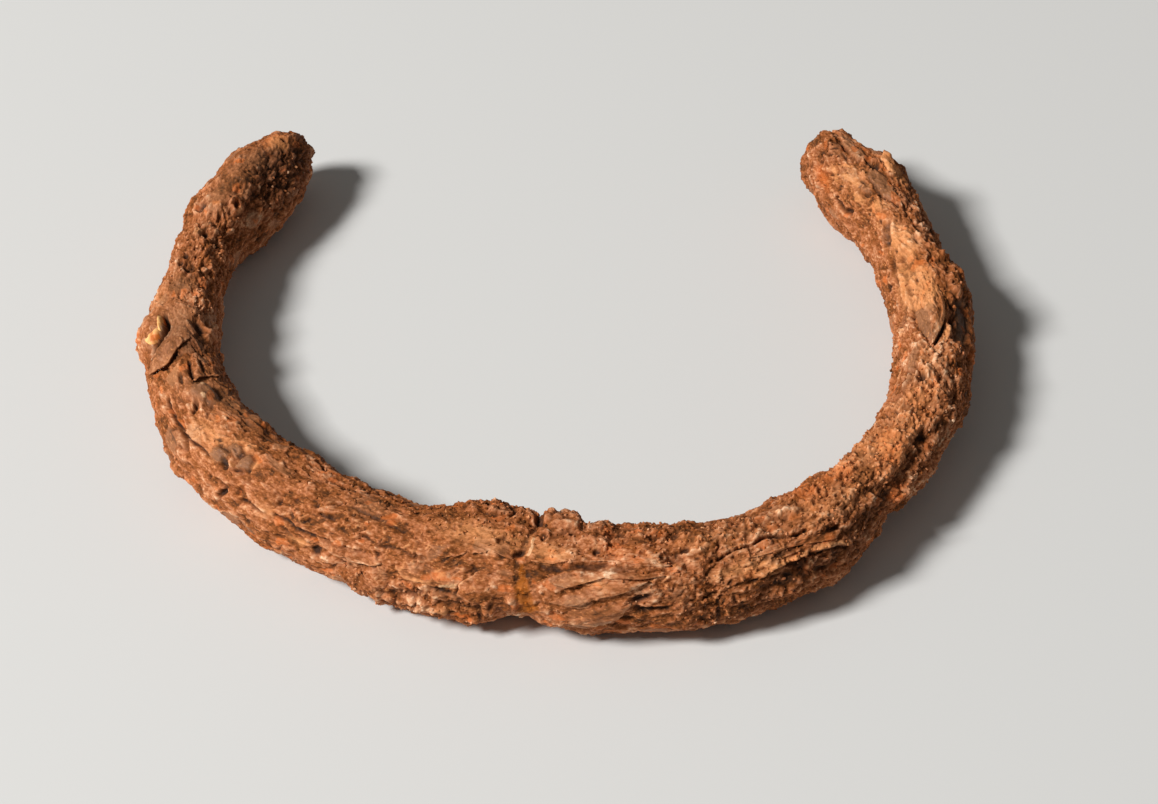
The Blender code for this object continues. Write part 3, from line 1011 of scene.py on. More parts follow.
RIGHT_ARM = (
    Cluster("orange crust of right bend", 114, 84, 6, 4, 40, 0.28, 0.35, 0.75),
    Cluster("crust of right arm", 124, 70, 6, 4, 36, 0.25, 0.3, 0.65),
    Splinters("splinters of right bend", 116, 86, 10, 4.6, 110, 0.11, 70, 0.5),
    Splinters("slits of right bend", 116, 80, 10, 4.8, 36, -0.12, 70, 0.5),
    Splinters("splinters of right arm", 136, 132, 9, 3, 90, 0.1, 20, 0.5),
    Splinters("slits of right arm", 136, 134, 9, 3, 24, -0.14, 20, 0.5),
    # The cavity's dark is painted shade over the lower side of the right bend.
    Fault("dark cavity of right bend", ((109, 20), (112.6, 30), (117, 40), (121.8, 46)), 1.5, 0.5, dark=0.6),
    Swelling("orange knot in cavity", 115, 24, 0.9, 0.8, 0.5, Edge.FIRM),
    Pit("hole of right bend", 127.5, 98, 0.5, 0.6, 0.14),
    Plate("first smooth plate of right arm", ((125.2, 116), (127.4, 114), (127.8, 124), (125.6, 126)),
          0.12, 0.7),
    Plate("second smooth plate of right arm", ((128.2, 112), (131, 112), (130.8, 126), (128.4, 124)),
          0.16, 0.8),
    Plate(
        "smooth diamond of lens",
        ((132.3, 94), (132.9, 107), (134.6, 118), (137.1, 125), (136.9, 110), (135.5, 101), (133.8, 96)),
        0, 1, 0, 0.1,
    ),
    Fault(
        "groove left of lens",
        ((143.2, 121), (141.1, 126), (139, 128), (136.4, 126), (133.9, 117), (132.2, 100)),
        0.26, 0.15, -0.1, 0.8, dark=0.4,
    ),
    Fault("crack right of lens", ((131.8, 92), (133, 87), (134.3, 81), (135.6, 77)), 0.26, 0.45),
    Fault("bright ridge outside lens", ((135.4, 73), (134, 77), (132.3, 83)), 0.4, -0.08),
    Splinters("streaks of lens", 139.8, 106, 3, 1.5, 22, -0.1, -20, 0.8),
    Splinters("bright streaks of lens", 139.8, 106, 3.2, 1.6, 30, 0.14, -20, 0.8),
    Fault("first long ridge", ((134, 130), (138.2, 133), (142, 132), (146.6, 130)), 0.8, -0.2),
    Fault("second long ridge", ((138, 150), (143, 150), (147.6, 146)), 0.6, -0.15),
    Fault("groove between long ridges", ((136, 140), (141, 142), (146.6, 140)), 0.4, 0.2, dark=0.4),
    Pit("pit inside right arm", 142.6, 160, 0.4, 0.5),
    Fault("crevice outside lens", ((132.6, 62), (134.6, 62), (136.9, 64), (138.6, 67)), 0.7, 0.45, dark=0.95),
    # The crevice's plate is dark by painted shade, laid over it by a patch.
    Plate("dark plate in crevice", ((133.2, 40), (133.8, 56), (138.6, 58), (139.4, 40), (136, 32)),
          -0.4, 0.9, 0.2),
    Plate(
        "crusty flake on right arm",
        (
            (138.7, 40), (138.6, 56), (139.2, 69), (140.6, 69), (142.2, 64), (143.2, 58), (142.6, 50),
            (141.4, 40), (140.2, 30),
        ),
        0.45, 0, 0.05, 0.25,
    ),
    Cluster("nodules of crusty flake", 140.8, 54, 2, 1, 26, 0.22, 0.2, 0.4),
    Cluster("crust outside right waist", 148.5, 58, 4, 2, 26, 0.3, 0.3, 0.6),
    Fault("groove of right waist", ((148, 140), (149.4, 130), (151.2, 119)), 0.8, 0.35, dark=0.25),
    Fault("pale ridge of right waist", ((145.6, 116), (148.4, 121), (150.4, 112), (152.4, 104)), 0.7, -0.28),
    Fault("edge beside right waist", ((147.4, 82), (150.8, 84), (153.4, 80)), 0.3, 0.15, 0.12, 1.4, dark=0.5),
    Cluster("outer crust of right terminal", 154.6, 58, 3, 2, 24, 0.3, 0.3, 0.6),
    Splinters("splinters of right terminal", 158, 128, 5, 3, 120, 0.1, 50, 0.5),
    Splinters("slits of right terminal", 158, 122, 5.4, 3.2, 30, -0.14, 50, 0.4),
    Splinters("splinters of right waist", 150, 112, 4, 2.4, 60, 0.1, 15, 0.6),
    Splinters("slits of right waist", 150, 104, 4.6, 3.2, 18, -0.12, 15, 0.5),
    Plate(
        "lower grey patch", ((153.6, 78), (153.5, 94), (154.8, 104), (157.6, 106), (158.6, 96), (157.4, 84)),
        0.08, 0.85,
    ),
    Plate("grey patch by small crack", ((155.6, 112), (155.8, 121), (157.2, 124), (157.6, 114)),
          0.04, 0.7, 0.06),
    Plate("upper grey patch", ((160, 84), (160.2, 98), (162, 98), (164.2, 92), (163.4, 80)), 0.08, 0.8),
    Plate("grey streak of right waist", ((147.6, 137), (149.6, 141), (150.8, 130), (151, 112), (149.8, 118)),
          0, 0.6, 0),
    Fault(
        "curved crack of right terminal",
        ((155.2, 150), (155.6, 155), (156.7, 163), (158.1, 164), (159.2, 160)),
        0.6, 0.6, -0.15, 1,
    ),
    Fault("small crack of right terminal", ((156.4, 108), (158, 117)), 0.34, 0.45),
    Pit("hole of right terminal", 159, 85, 0.62, 0.8, 0.14, 0.9),
    Fault("crack across right tip", ((163.8, 96), (164.4, 112), (163.6, 128)), 0.34, 0.3, 0.12, 1),
    Cluster("nodules of right tip", 164.2, 136, 2, 2, 18, 0.25, 0.3, 0.55),
)

# Where the crust is granular, powdery, bright, stained or flaked off smooth, where shade is painted
# and where glints are painted on. Each place holds its middle along and round the bar, its half length
# and half width in millimetres, how strong it is, and where it has them its edge and its turn.
PATCHES = tuple(Patch(layer, *place) for layer, places in (
    (Layer.CRUST, (
        (8, 136, 6, 3.6, 0.8), (22, 110, 5, 3.6, 0.9), (29, 110, 3, 3, 0.5), (64, 100, 9, 4.5, 0.5),
        (72, -20, 9, 3, 0.9), (79, 108, 9, 3.4, 0.9), (94, 100, 9, 5, 0.9), (101, 0, 10, 4, 1),
        (115, 80, 9, 6, 1), (126, 60, 8, 5, 0.9), (134, 150, 9, 3, 0.5), (150, 56, 8, 3, 0.7),
        (162, 140, 5, 4, 0.6),
    )),
    (Layer.POWDER, (
        (4.4, 95, 1.8, 1.3, 1), (14.9, 126, 0.5, 0.5, 0.8), (16, 89, 0.5, 0.5, 1), (20.1, 85, 0.6, 0.55, 1),
        (18.8, 90, 0.5, 0.5, 0.6), (29, 60, 3, 2.4, 0.5), (40.6, 66, 2.6, 2, 0.5), (49.6, 62, 3.6, 2, 0.7),
        (53, 84, 1.6, 0.8, 0.6), (55, 70, 0.7, 0.6, 1), (58.2, 34, 1.6, 1.2, 0.6), (61.6, 12, 1.2, 0.5, 0.9),
        (74.6, -14, 0.5, 0.5, 1), (72.4, 16, 1.4, 0.3, 1), (77, 74, 4, 1.6, 0.8), (83, 68, 2.4, 1.2, 0.7),
        (86.4, 38, 2.4, 0.7, 0.7), (97, 78, 6, 2.4, 0.45), (98.4, 40, 3, 0.7, 0.7),
        (100.4, 30, 1.6, 0.5, 0.8), (107, 74, 5, 2.6, 0.45), (116, 92, 6, 4, 0.6), (125, 92, 6, 3, 0.5),
        (131, 104, 2, 2, 0.4), (134, 76, 1.6, 0.3, 1, Edge.FIRM, -14), (141.6, 107, 1.6, 1, 1),
        (138.8, 116, 1.6, 0.7, 0.9), (138.6, 98, 1.4, 0.9, 0.8), (139.6, 104, 3.2, 1.6, 0.7),
        (141.6, 132, 4.4, 0.9, 0.9), (148.6, 112, 3, 1.8, 0.7), (157.2, 116, 0.9, 0.3, 0.9, Edge.FIRM, 35),
        (158.6, 126, 1.1, 0.3, 0.9, Edge.FIRM, 20), (160.4, 118, 0.9, 0.25, 0.8, Edge.FIRM, 40),
        (160.8, 138, 1, 0.3, 0.9, Edge.FIRM, -25), (156, 132, 0.8, 0.3, 0.8, Edge.FIRM, 10),
        (158, 124, 4, 2.6, 0.5), (158.2, 57, 2, 0.8, 0.9), (157.8, 62, 1.6, 0.8, 1),
        (148.5, 118, 0.9, 0.8, 1), (145.8, 108, 1.4, 1, 1), (153.6, 114, 0.7, 0.6, 1),
    )),
    (Layer.ORANGE, (
        (4.4, 88, 2.4, 1.4, 0.8), (14.9, 115, 0.7, 0.7, 0.9), (16, 89, 0.5, 0.5, 0.8), (66, 90, 6, 3, 0.3),
        (88.6, 78, 3.4, 1.6, 0.5), (94, 84, 3, 2, 0.3), (106.8, 101, 1.6, 1.4, 0.6), (114, 90, 9, 4, 0.5),
        (115, 24, 1, 1, 0.8), (124, 84, 4, 3, 0.4), (139.4, 103, 1.3, 0.3, 1, Edge.FIRM, -18),
        (143.4, 104, 0.5, 1, 0.9, Edge.FIRM), (143.6, 108, 0.8, 0.6, 0.7), (111, 104, 1.6, 0.8, 0.8),
        (118.4, 96, 1.4, 0.9, 0.8), (116, 70, 1.6, 0.8, 0.7), (141.4, 44, 2, 1.2, 0.5),
        (158.6, 57, 2.4, 0.9, 1), (161.6, 158, 2.2, 0.9, 1, Edge.SOFT, -26),
    )),
    (Layer.STAIN, (
        (80.9, 45, 0.35, 0.5, 0.8), (81.1, 33, 0.4, 0.7, 0.8), (80.8, 24, 0.36, 0.7, 0.7),
        (81.4, 18, 0.6, 0.8, 0.9), (81.7, 4, 0.8, 0.8, 1), (81.2, -8, 0.8, 0.8, 0.8),
    )),
    (Layer.PLATE, (
        (7.6, 98, 2.4, 1.6, 0.6), (15.4, 84, 1.8, 1.4, 0.6), (11, 86, 3, 1.6, 0.4),
        (42.4, 82, 1.6, 1.8, 0.35), (27.8, 88, 1.6, 1.2, 0.8), (33.6, 84, 3, 2, 0.7, Edge.FIRM),
        (44.4, 92, 1.6, 1, 0.9, Edge.FIRM), (46, 118, 5, 1.6, 0.5), (66.4, 82, 1.6, 1, 0.7),
    )),
    # Painted shade on the left terminal's inner slope, inside the overlapping scale, under the lifted scale,
    # in the crevice outside the lens and on the right bend; a darker tone on the grey blister, the flat
    # scales and the left arm's scale.
    (Layer.HOLLOW, (
        (44.4, 92, 1.7, 1.1, 0.24, Edge.FIRM), (36.4, 116, 2.4, 1, 0.5), (51.7, 55, 0.9, 0.8, 0.3, Edge.FIRM),
        (52.6, 72, 0.8, 0.7, 0.14, Edge.FIRM), (54.3, 66, 0.8, 1, 0.32, Edge.FIRM),
        (36, 70, 2.4, 2.4, 0.5, Edge.FIRM), (108, 14, 3, 1.6, 0.4), (136.6, 48, 2.6, 1.2, 0.8, Edge.FIRM),
        (7, 138, 7, 3.2, 0.6, Edge.FIRM), (112, 40, 4, 1.2, 0.3), (124, 30, 5, 1.6, 0.3),
    )),
    # Painted glints on the two beads of the grey blister.
    (Layer.PALE, (
        (43.7, 94, 0.34, 0.2, 1.2), (45.1, 88, 0.3, 0.2, 1.2),
    )),
) for place in places)


@dataclass
class BraceletBar:
    """The bar itself: a fine skin over the smooth bar, with all that shows on it.

    The skin is cut in three stretches, each a closed shell. Where two meet they share a ring of
    points, and the rings past it dive under the neighbour, by tuck, so that no seam shows.
    The points round a ring are fewest about hidden_middle, an angle in degrees, where the bar
    faces down. Nothing stands higher than highest by more than crown_room.
    """

    form: BarForm = field(default_factory=BarForm)
    rings: int = 1400
    sides: int = 196
    end_rings: int = 30
    seams: tuple[float, ...] = (57.0, 110.0)
    tuck: tuple[float, ...] = (0.03, 0.15, 0.5)
    hidden_fineness: float = 0.45
    hidden_middle: float = 258.0
    hidden_half: float = 38.0
    hidden_fade: float = 20.0
    coarse_grain: float = 1.35
    fine_grain: float = 0.66
    tiny_grain: float = 0.3
    highest: float = 9.7
    crown_room: float = 0.4

    def ring_places(self) -> np.ndarray:
        """Return the rings' places: close together on the rounded ends, evenly between."""
        total = self.form.length()
        quarter = np.linspace(0.0, math.pi / 2.0, self.end_rings + 2)[1:-1]
        left = self.form.end_rounding * (1.0 - np.cos(quarter))
        count = self.rings - 2 * self.end_rings
        middle = np.linspace(self.form.end_rounding, total - self.form.end_rounding, count)
        return np.concatenate((left, middle, total - left[::-1]))

    def side_angles(self) -> np.ndarray:
        """Return the points' angles round a ring, closer together where the bar shows."""
        fine = np.linspace(0.0, 2.0 * math.pi, 721)
        below = math.radians(self.hidden_middle)
        from_below = np.abs((fine - below + math.pi) % (2.0 * math.pi) - math.pi)
        shown = eased((from_below - math.radians(self.hidden_half)) / math.radians(self.hidden_fade))
        density = self.hidden_fineness + (1.0 - self.hidden_fineness) * shown
        passed = np.concatenate(([0.0], np.cumsum((density[1:] + density[:-1]) / 2)))
        wanted = np.linspace(0.0, passed[-1], self.sides, endpoint=False)
        return np.interp(wanted, passed, fine)

    @staticmethod
    def outward_normals(surface: np.ndarray) -> np.ndarray:
        """Return the unit normals of a ring-by-side surface, pointing out of the bar.

        Args:
            surface: the surface's points.

        Returns:
            One normal for each point.
        """
        forward = np.gradient(surface, axis=0)
        round_it = np.roll(surface, -1, axis=1) - np.roll(surface, 1, axis=1)
        normals = np.cross(forward, round_it)
        return normals / np.linalg.norm(normals, axis=-1, keepdims=True)

    def straightened(self, along: np.ndarray, around: np.ndarray) -> np.ndarray:
        """Return the points' places in the straightened bar, where the rust's grain is even.

        Args:
            along, around: the rings' places in millimetres and the points' angles in radians.

        Returns:
            The places in millimetres, as a ring-by-side grid.
        """
        half = (self.form.half_thickness(along) * self.form.rounding(along))[:, None]
        return np.stack((
            np.broadcast_to(along[:, None], (len(along), len(around))),
            half * np.cos(around)[None, :],
            half * np.sin(around)[None, :],
        ), axis=-1)

    def weathered(self, skin: Skin) -> None:
        """Put every named feature, patch and layer of grain on the skin.

        Args:
            skin: the bar's bare skin.
        """
        for patch in PATCHES:
            patch.put_on(skin)
        for feature in LEFT_ARM + FRONT + RIGHT_ARM:
            LOG.debug("%s", feature.name)
            feature.put_on(skin)
        self.grow_grain(skin)
        self.note_cavities(skin)

    def grow_grain(self, skin: Skin) -> None:
        """Roughen the skin: low waves, overlapping leaves along the bar, nodules and grain.

        Args:
            skin: the skin with its features.
        """
        layers = skin.layers
        for layer in layers.values():
            np.clip(layer, 0.0, 1.0, out=layer)
        drift = np.stack([0.5 * smooth_noise(skin.points, 2.6, seed) for seed in (41, 42, 43)], axis=-1)
        drifted = skin.points + drift
        stretched = drifted * np.array((0.6, 1.0, 1.0))
        drawn_out = drifted * np.array((0.42, 1.0, 1.0))
        less_drifted = (skin.points + 0.4 * drift) * np.array((0.7, 1.0, 1.0))
        crust = eased(1.25 * layers[Layer.CRUST] + 0.45 * smooth_noise(skin.points, 2.2, 33) - 0.15)
        coarse = packed_grains(stretched, self.coarse_grain, 3)
        fine = packed_grains(stretched, self.fine_grain, 4)
        tiny = packed_grains(less_drifted, self.tiny_grain, 5)
        flaked = np.where(coarse.chance > 0.86, eased(coarse.gap / 0.25), 0.0)
        plate = np.maximum(layers[Layer.PLATE], 0.7 * flaked * (1.0 - crust))
        waves = 0.2 * smooth_noise(skin.points, 4.5, 21) + 0.12 * smooth_noise(stretched, 2.0, 22)
        leaves = 0.2 * (overlapping_leaves(drawn_out, 2.8, 31) - 0.4)
        leaves = leaves * eased(0.6 + smooth_noise(skin.points, 4.0, 32)) * (1.0 - 0.7 * crust)
        broken = 0.14 * broken_layers(stretched, 2.4, 35) + 0.055 * broken_layers(stretched, 1.1, 38)
        nodules = crust * (0.1 * coarse.dome + 0.03 * fine.dome - 0.06)
        grain = (0.1 + 0.03 * crust) * coarse.facet + (0.05 + 0.05 * crust) * fine.facet
        grain = grain + (0.036 + 0.03 * crust) * tiny.facet + 0.02 * tiny.dome
        grain = grain + 0.03 * smooth_noise(stretched, 0.46, 24)
        grain = grain - 0.1 * np.exp(-(coarse.gap / 0.07) ** 2) * (coarse.chance > 0.45)
        pocks = -0.25 * eased((smooth_noise(stretched, 0.9, 25) - 0.6) / 0.15)
        relief = leaves + broken + nodules + grain + pocks
        skin.height += waves * (1.0 - 0.5 * plate) + (1.0 - 0.8 * plate) * relief
        flecks = (fine.chance > 0.93) * eased(fine.gap / 0.12)
        layers[Layer.ORANGE] = np.maximum(layers[Layer.ORANGE], 0.75 * flecks)
        layers[Layer.POWDER] *= 1.0 - 0.8 * layers[Layer.PLATE]
        layers[Layer.PLATE] = plate
        layers[Layer.CRUST] = crust
        layers[Layer.TONE] = 0.5 * coarse.chance + 0.3 * fine.chance + 0.2 * tiny.chance

    def note_cavities(self, skin: Skin) -> None:
        """Paint shade over what lies deeper than its surroundings, and mark the tips that stand out.

        Args:
            skin: the skin with its features and grain.
        """
        close = blurred(skin.height, 4)
        near = blurred(close, 18)
        wide = blurred(near, 110)
        fine = eased((close - skin.height) / 0.06)
        depth = eased((near - close - 0.01) / 0.16)
        sunk = eased((wide - near - 0.08) / 0.45)
        hollow = skin.layers[Layer.HOLLOW]
        skin.layers[Layer.HOLLOW] = np.clip(hollow + 0.15 * fine + 0.35 * depth + 0.35 * sunk, 0.0, 1.0)
        # The finish paints these tips lighter: paler crust and a painted highlight.
        tips = 0.5 * eased((close - near) / 0.12)
        skin.layers[Layer.TIP] = tips + 0.5 * eased((skin.height - close) / 0.05)

    def skin(self) -> tuple[Skin, np.ndarray]:
        """Return the weathered skin and its points in space, in millimetres."""
        along, around = self.ring_places(), self.side_angles()
        half = np.broadcast_to(self.form.half_thickness(along)[:, None], (len(along), 1))
        smooth = self.form.surface(along, around)
        points = self.straightened(along, around)
        skin = Skin(along[:, None], around[None, :], half, points, smooth, self.outward_normals(smooth))
        self.weathered(skin)
        points = smooth + skin.normals * skin.height[..., None]
        over = (points[..., 2] - self.highest) / self.crown_room
        crown = self.highest + self.crown_room * np.tanh(over)
        points[..., 2] = np.where(over > 0.0, crown, np.maximum(points[..., 2], 0.0))
        return skin, points

    def faces(self, rings: int) -> list[tuple[int, ...]]:
        """Return quads between neighbouring rings and a fan of triangles over each end.

        Args:
            rings: the number of rings.

        Returns:
            The faces, as numbers of points. The two points at the ends come after the rings.
        """
        faces = []
        for ring in range(rings - 1):
            near = ring * self.sides
            far = near + self.sides
            for side in range(self.sides):
                after = (side + 1) % self.sides
                faces.append((near + side, far + side, far + after, near + after))
        last = (rings - 1) * self.sides
        first_tip = rings * self.sides
        for side in range(self.sides):
            after = (side + 1) % self.sides
            faces.append((first_tip, side, after))
            faces.append((first_tip + 1, last + after, last + side))
        return faces

    def stretch(
        self, name: str, skin: Skin, points: np.ndarray, ends: tuple[int, int], finish: bpy.types.Material
    ) -> bpy.types.Object:
        """Build one stretch of the skin as a closed shell.

        Args:
            name: the name of the piece.
            skin: the weathered skin.
            points: the skin's points in space, in millimetres.
            ends: the numbers of its first and last ring that show.
            finish: the material of the rusted iron.

        Returns:
            The finished object.
        """
        first, last = ends
        hidden = len(self.tuck)
        rows = np.arange(max(first - hidden, 0), min(last + hidden, self.rings - 1) + 1)
        past = np.maximum(first - rows, rows - last)
        depth = np.where(past > 0, np.array((0.0, *self.tuck))[np.maximum(past, 0)], 0.0)
        shell = points[rows] - skin.normals[rows] * depth[:, None, None]
        layers = {layer: self.capped(grid[rows]) for layer, grid in skin.layers.items()}
        layers[Layer.BAR] = self.capped(skin.points[rows])
        return shell_piece(name, self.capped(shell), self.faces(len(rows)), layers, finish)

    @staticmethod
    def capped(grid: np.ndarray) -> np.ndarray:
        """Return a grid's values as one list, and after them the mean of each end ring."""
        tips = np.stack((grid[0].mean(axis=0), grid[-1].mean(axis=0)))
        return np.concatenate((grid.reshape(-1, *grid.shape[2:]), tips))

    def build(
        self, names: tuple[str, ...], finish: bpy.types.Material
    ) -> tuple[list[bpy.types.Object], Skin]:
        """Build the bar, in stretches from the left terminal to the right.

        Args:
            names: the names of the stretches.
            finish: the material of the rusted iron.

        Returns:
            The finished objects, which together stand for the CAD node, and the bar's skin.
        """
        skin, points = self.skin()
        cuts = [0, *np.searchsorted(skin.along[:, 0], self.seams), self.rings - 1]
        pieces = [
            self.stretch(name, skin, points, ends, finish)
            for name, ends in zip(names, zip(cuts[:-1], cuts[1:]))
        ]
        return pieces, skin


@dataclass(frozen=True)
class Leaf:
    """A thin leaf of rust that grows out of the skin and stands off it along its free edge.

    outline holds its corners as (along, around), in order round it. It is rooted root deep and
    rises to lift over the skin towards free_side, an angle on the unrolled skin: 0 is along the
    bar and 90 is up round it from the outside. smooth and powder are shares of those layers.
    """

    name: str
    outline: Path
    free_side: float
    lift: float = 0.45
    root: float = -0.3
    thickness: float = 0.28
    bow: float = 0.1
    ragged: float = 0.2
    smooth: float = 0.4
    powder: float = 0.0
    pitch: float = 0.12

    def rim(self, skin: Skin) -> np.ndarray:
        """Return the ragged outline as (run, rise) places in millimetres from its first corner.

        Args:
            skin: the bar's skin.

        Returns:
            The places, in order round the leaf.
        """
        corners = np.array(skin.laid_flat(self.outline + self.outline[:1]))
        passed = np.concatenate(([0.0], np.cumsum(np.hypot(*np.diff(corners, axis=0).T))))
        walk = np.linspace(0.0, passed[-1], int(passed[-1] / self.pitch), endpoint=False)
        rim = np.stack([np.interp(walk, passed, corners[:, axis]) for axis in range(2)], axis=-1)
        rim = evened(rim, 4)
        places = np.concatenate((rim + self.outline[0][0], np.full((len(rim), 1), 0.5)), axis=-1)
        push = self.ragged * (smooth_noise(places, 0.9, 61) + 0.6 * smooth_noise(places, 0.4, 62))
        outward = rim - rim.mean(axis=0)
        outward /= np.linalg.norm(outward, axis=1, keepdims=True)
        return rim + push[:, None] * outward

    def free_edge(self, rim: np.ndarray) -> np.ndarray:
        """Return, for each place of the rim, how far it belongs to the free edge: 0 to 1.

        Args:
            rim: the rim's places.

        Returns:
            The shares.
        """
        turn = math.radians(self.free_side)
        ahead = np.roll(rim, -3, axis=0) - np.roll(rim, 3, axis=0)
        facing = np.stack((ahead[:, 1], -ahead[:, 0]), axis=-1)
        facing /= np.linalg.norm(facing, axis=1, keepdims=True) + 1e-9
        facing *= np.sign(((rim - rim.mean(axis=0)) * facing).sum(axis=1, keepdims=True))
        free = evened(facing[:, 0] * math.cos(turn) + facing[:, 1] * math.sin(turn), 6)
        return eased((free + 0.1) / 0.6)

    def shell(
        self, skin: Skin, soft_height: np.ndarray
    ) -> tuple[np.ndarray, list[tuple[int, ...]], dict[Layer, np.ndarray]]:
        """Return the leaf's points, faces and layers.

        Args:
            skin: the bar's skin.
            soft_height: the skin's height without its grain.

        Returns:
            The points in millimetres, the faces, and a value of each layer for each point.
        """
        rim = self.rim(skin)
        middle = rim.mean(axis=0)
        rows = max(4, int(np.linalg.norm(rim - middle, axis=1).mean() / self.pitch))
        share = np.linspace(0.0, 1.0, rows + 1)[:, None, None]
        flat = middle + share * (rim - middle)[None]
        turn = math.radians(self.free_side)
        ahead = flat[..., 0] * math.cos(turn) + flat[..., 1] * math.sin(turn)
        ahead = (ahead - ahead.min()) / (ahead.max() - ahead.min())
        share = np.broadcast_to(share[..., 0], ahead.shape)
        free = self.free_edge(rim)
        rooted = share ** 4 * (1.0 - free)
        first_along, first_around = self.outline[0]
        along = first_along + flat[..., 0]
        across = np.interp(along, skin.along[:, 0], skin.half[:, 0])
        around = math.radians(first_around) + flat[..., 1] / across
        places, base, normals, soft, height = (
            skin.sampled(values, along, around)
            for values in (skin.points, skin.smooth, skin.normals, soft_height, skin.height)
        )
        drawn_out = places * np.array((0.35, 1.0, 1.0))
        level = self.root + (self.lift - self.root) * eased(1.15 * ahead)
        level = level + self.bow * (1.0 - share ** 2) - 0.06 * share ** 10 - 0.4 * rooted
        level = level + 0.1 * smooth_noise(drawn_out, 0.8, 63)
        level = level + 0.16 * (overlapping_leaves(drawn_out, 1.8, 65) - 0.4)
        grain = (0.8 - 0.6 * self.smooth) * 0.2 * np.tanh((height - soft) / 0.2)
        level = level + grain * (1.0 - share ** 6)
        under = level - self.thickness * (1.0 - 0.35 * share ** 6)
        top, bottom = (base + normals * (soft + side)[..., None] for side in (level, under))
        layers = {}
        for layer, values in skin.layers.items():
            found = skin.sampled(values, along, around)
            if layer is Layer.PLATE:
                found = np.maximum(found, self.smooth * (1.0 - rooted))
            # The free rim is painted paler: pale powder and a painted highlight.
            if layer is Layer.POWDER:
                bare = 1.0 - skin.sampled(skin.layers[Layer.PLATE], along, around)
                found = np.maximum(found, (self.powder + 0.5 * share ** 8 * free) * bare)
            # The rim is painted lighter as a painted highlight; the rooted part keeps the skin's tips.
            if layer is Layer.TIP:
                found = found * rooted + (0.35 + 0.5 * share ** 8) * (1.0 - rooted)
            below = found
            # Painted shade: a little on the leaf's top, and full on its underside.
            if layer is Layer.HOLLOW:
                found = found * np.maximum(0.35 * (1.0 - share ** 4), rooted)
                below = np.ones_like(found)
            layers[layer] = self.both_sides(found, below)
        layers[Layer.BAR] = self.both_sides(places, places)
        return self.both_sides(top, bottom), self.faces(rows, len(rim)), layers

    @staticmethod
    def both_sides(top: np.ndarray, bottom: np.ndarray) -> np.ndarray:
        """Return the values of the leaf's top, then of its underside, as one list.

        Args:
            top, bottom: grids of values. The first row is the leaf's middle, many times over.

        Returns:
            The list, with one value for the middle of each side.
        """
        shape = (-1, *top.shape[2:])
        return np.concatenate((top[0, :1], top[1:].reshape(shape), bottom[0, :1], bottom[1:].reshape(shape)))

    @staticmethod
    def faces(rows: int, count: int) -> list[tuple[int, ...]]:
        """Return the faces of both sides of the leaf and of the rim between them.

        Args:
            rows: the rows of points from the middle to the rim.
            count: the points in a row.

        Returns:
            The faces, as numbers of points.
        """
        half = 1 + rows * count
        edge = 1 + (rows - 1) * count
        faces = []
        for side in range(count):
            after = (side + 1) % count
            faces.append((0, 1 + side, 1 + after))
            faces.append((half, half + 1 + after, half + 1 + side))
            for row in range(rows - 1):
                near, far = 1 + row * count, 1 + (row + 1) * count
                quad = near + side, far + side, far + after, near + after
                faces.append(quad)
                faces.append(tuple(half + quad[corner] for corner in (0, 3, 2, 1)))
            faces.append((edge + side, half + edge + side, half + edge + after, edge + after))
        return faces


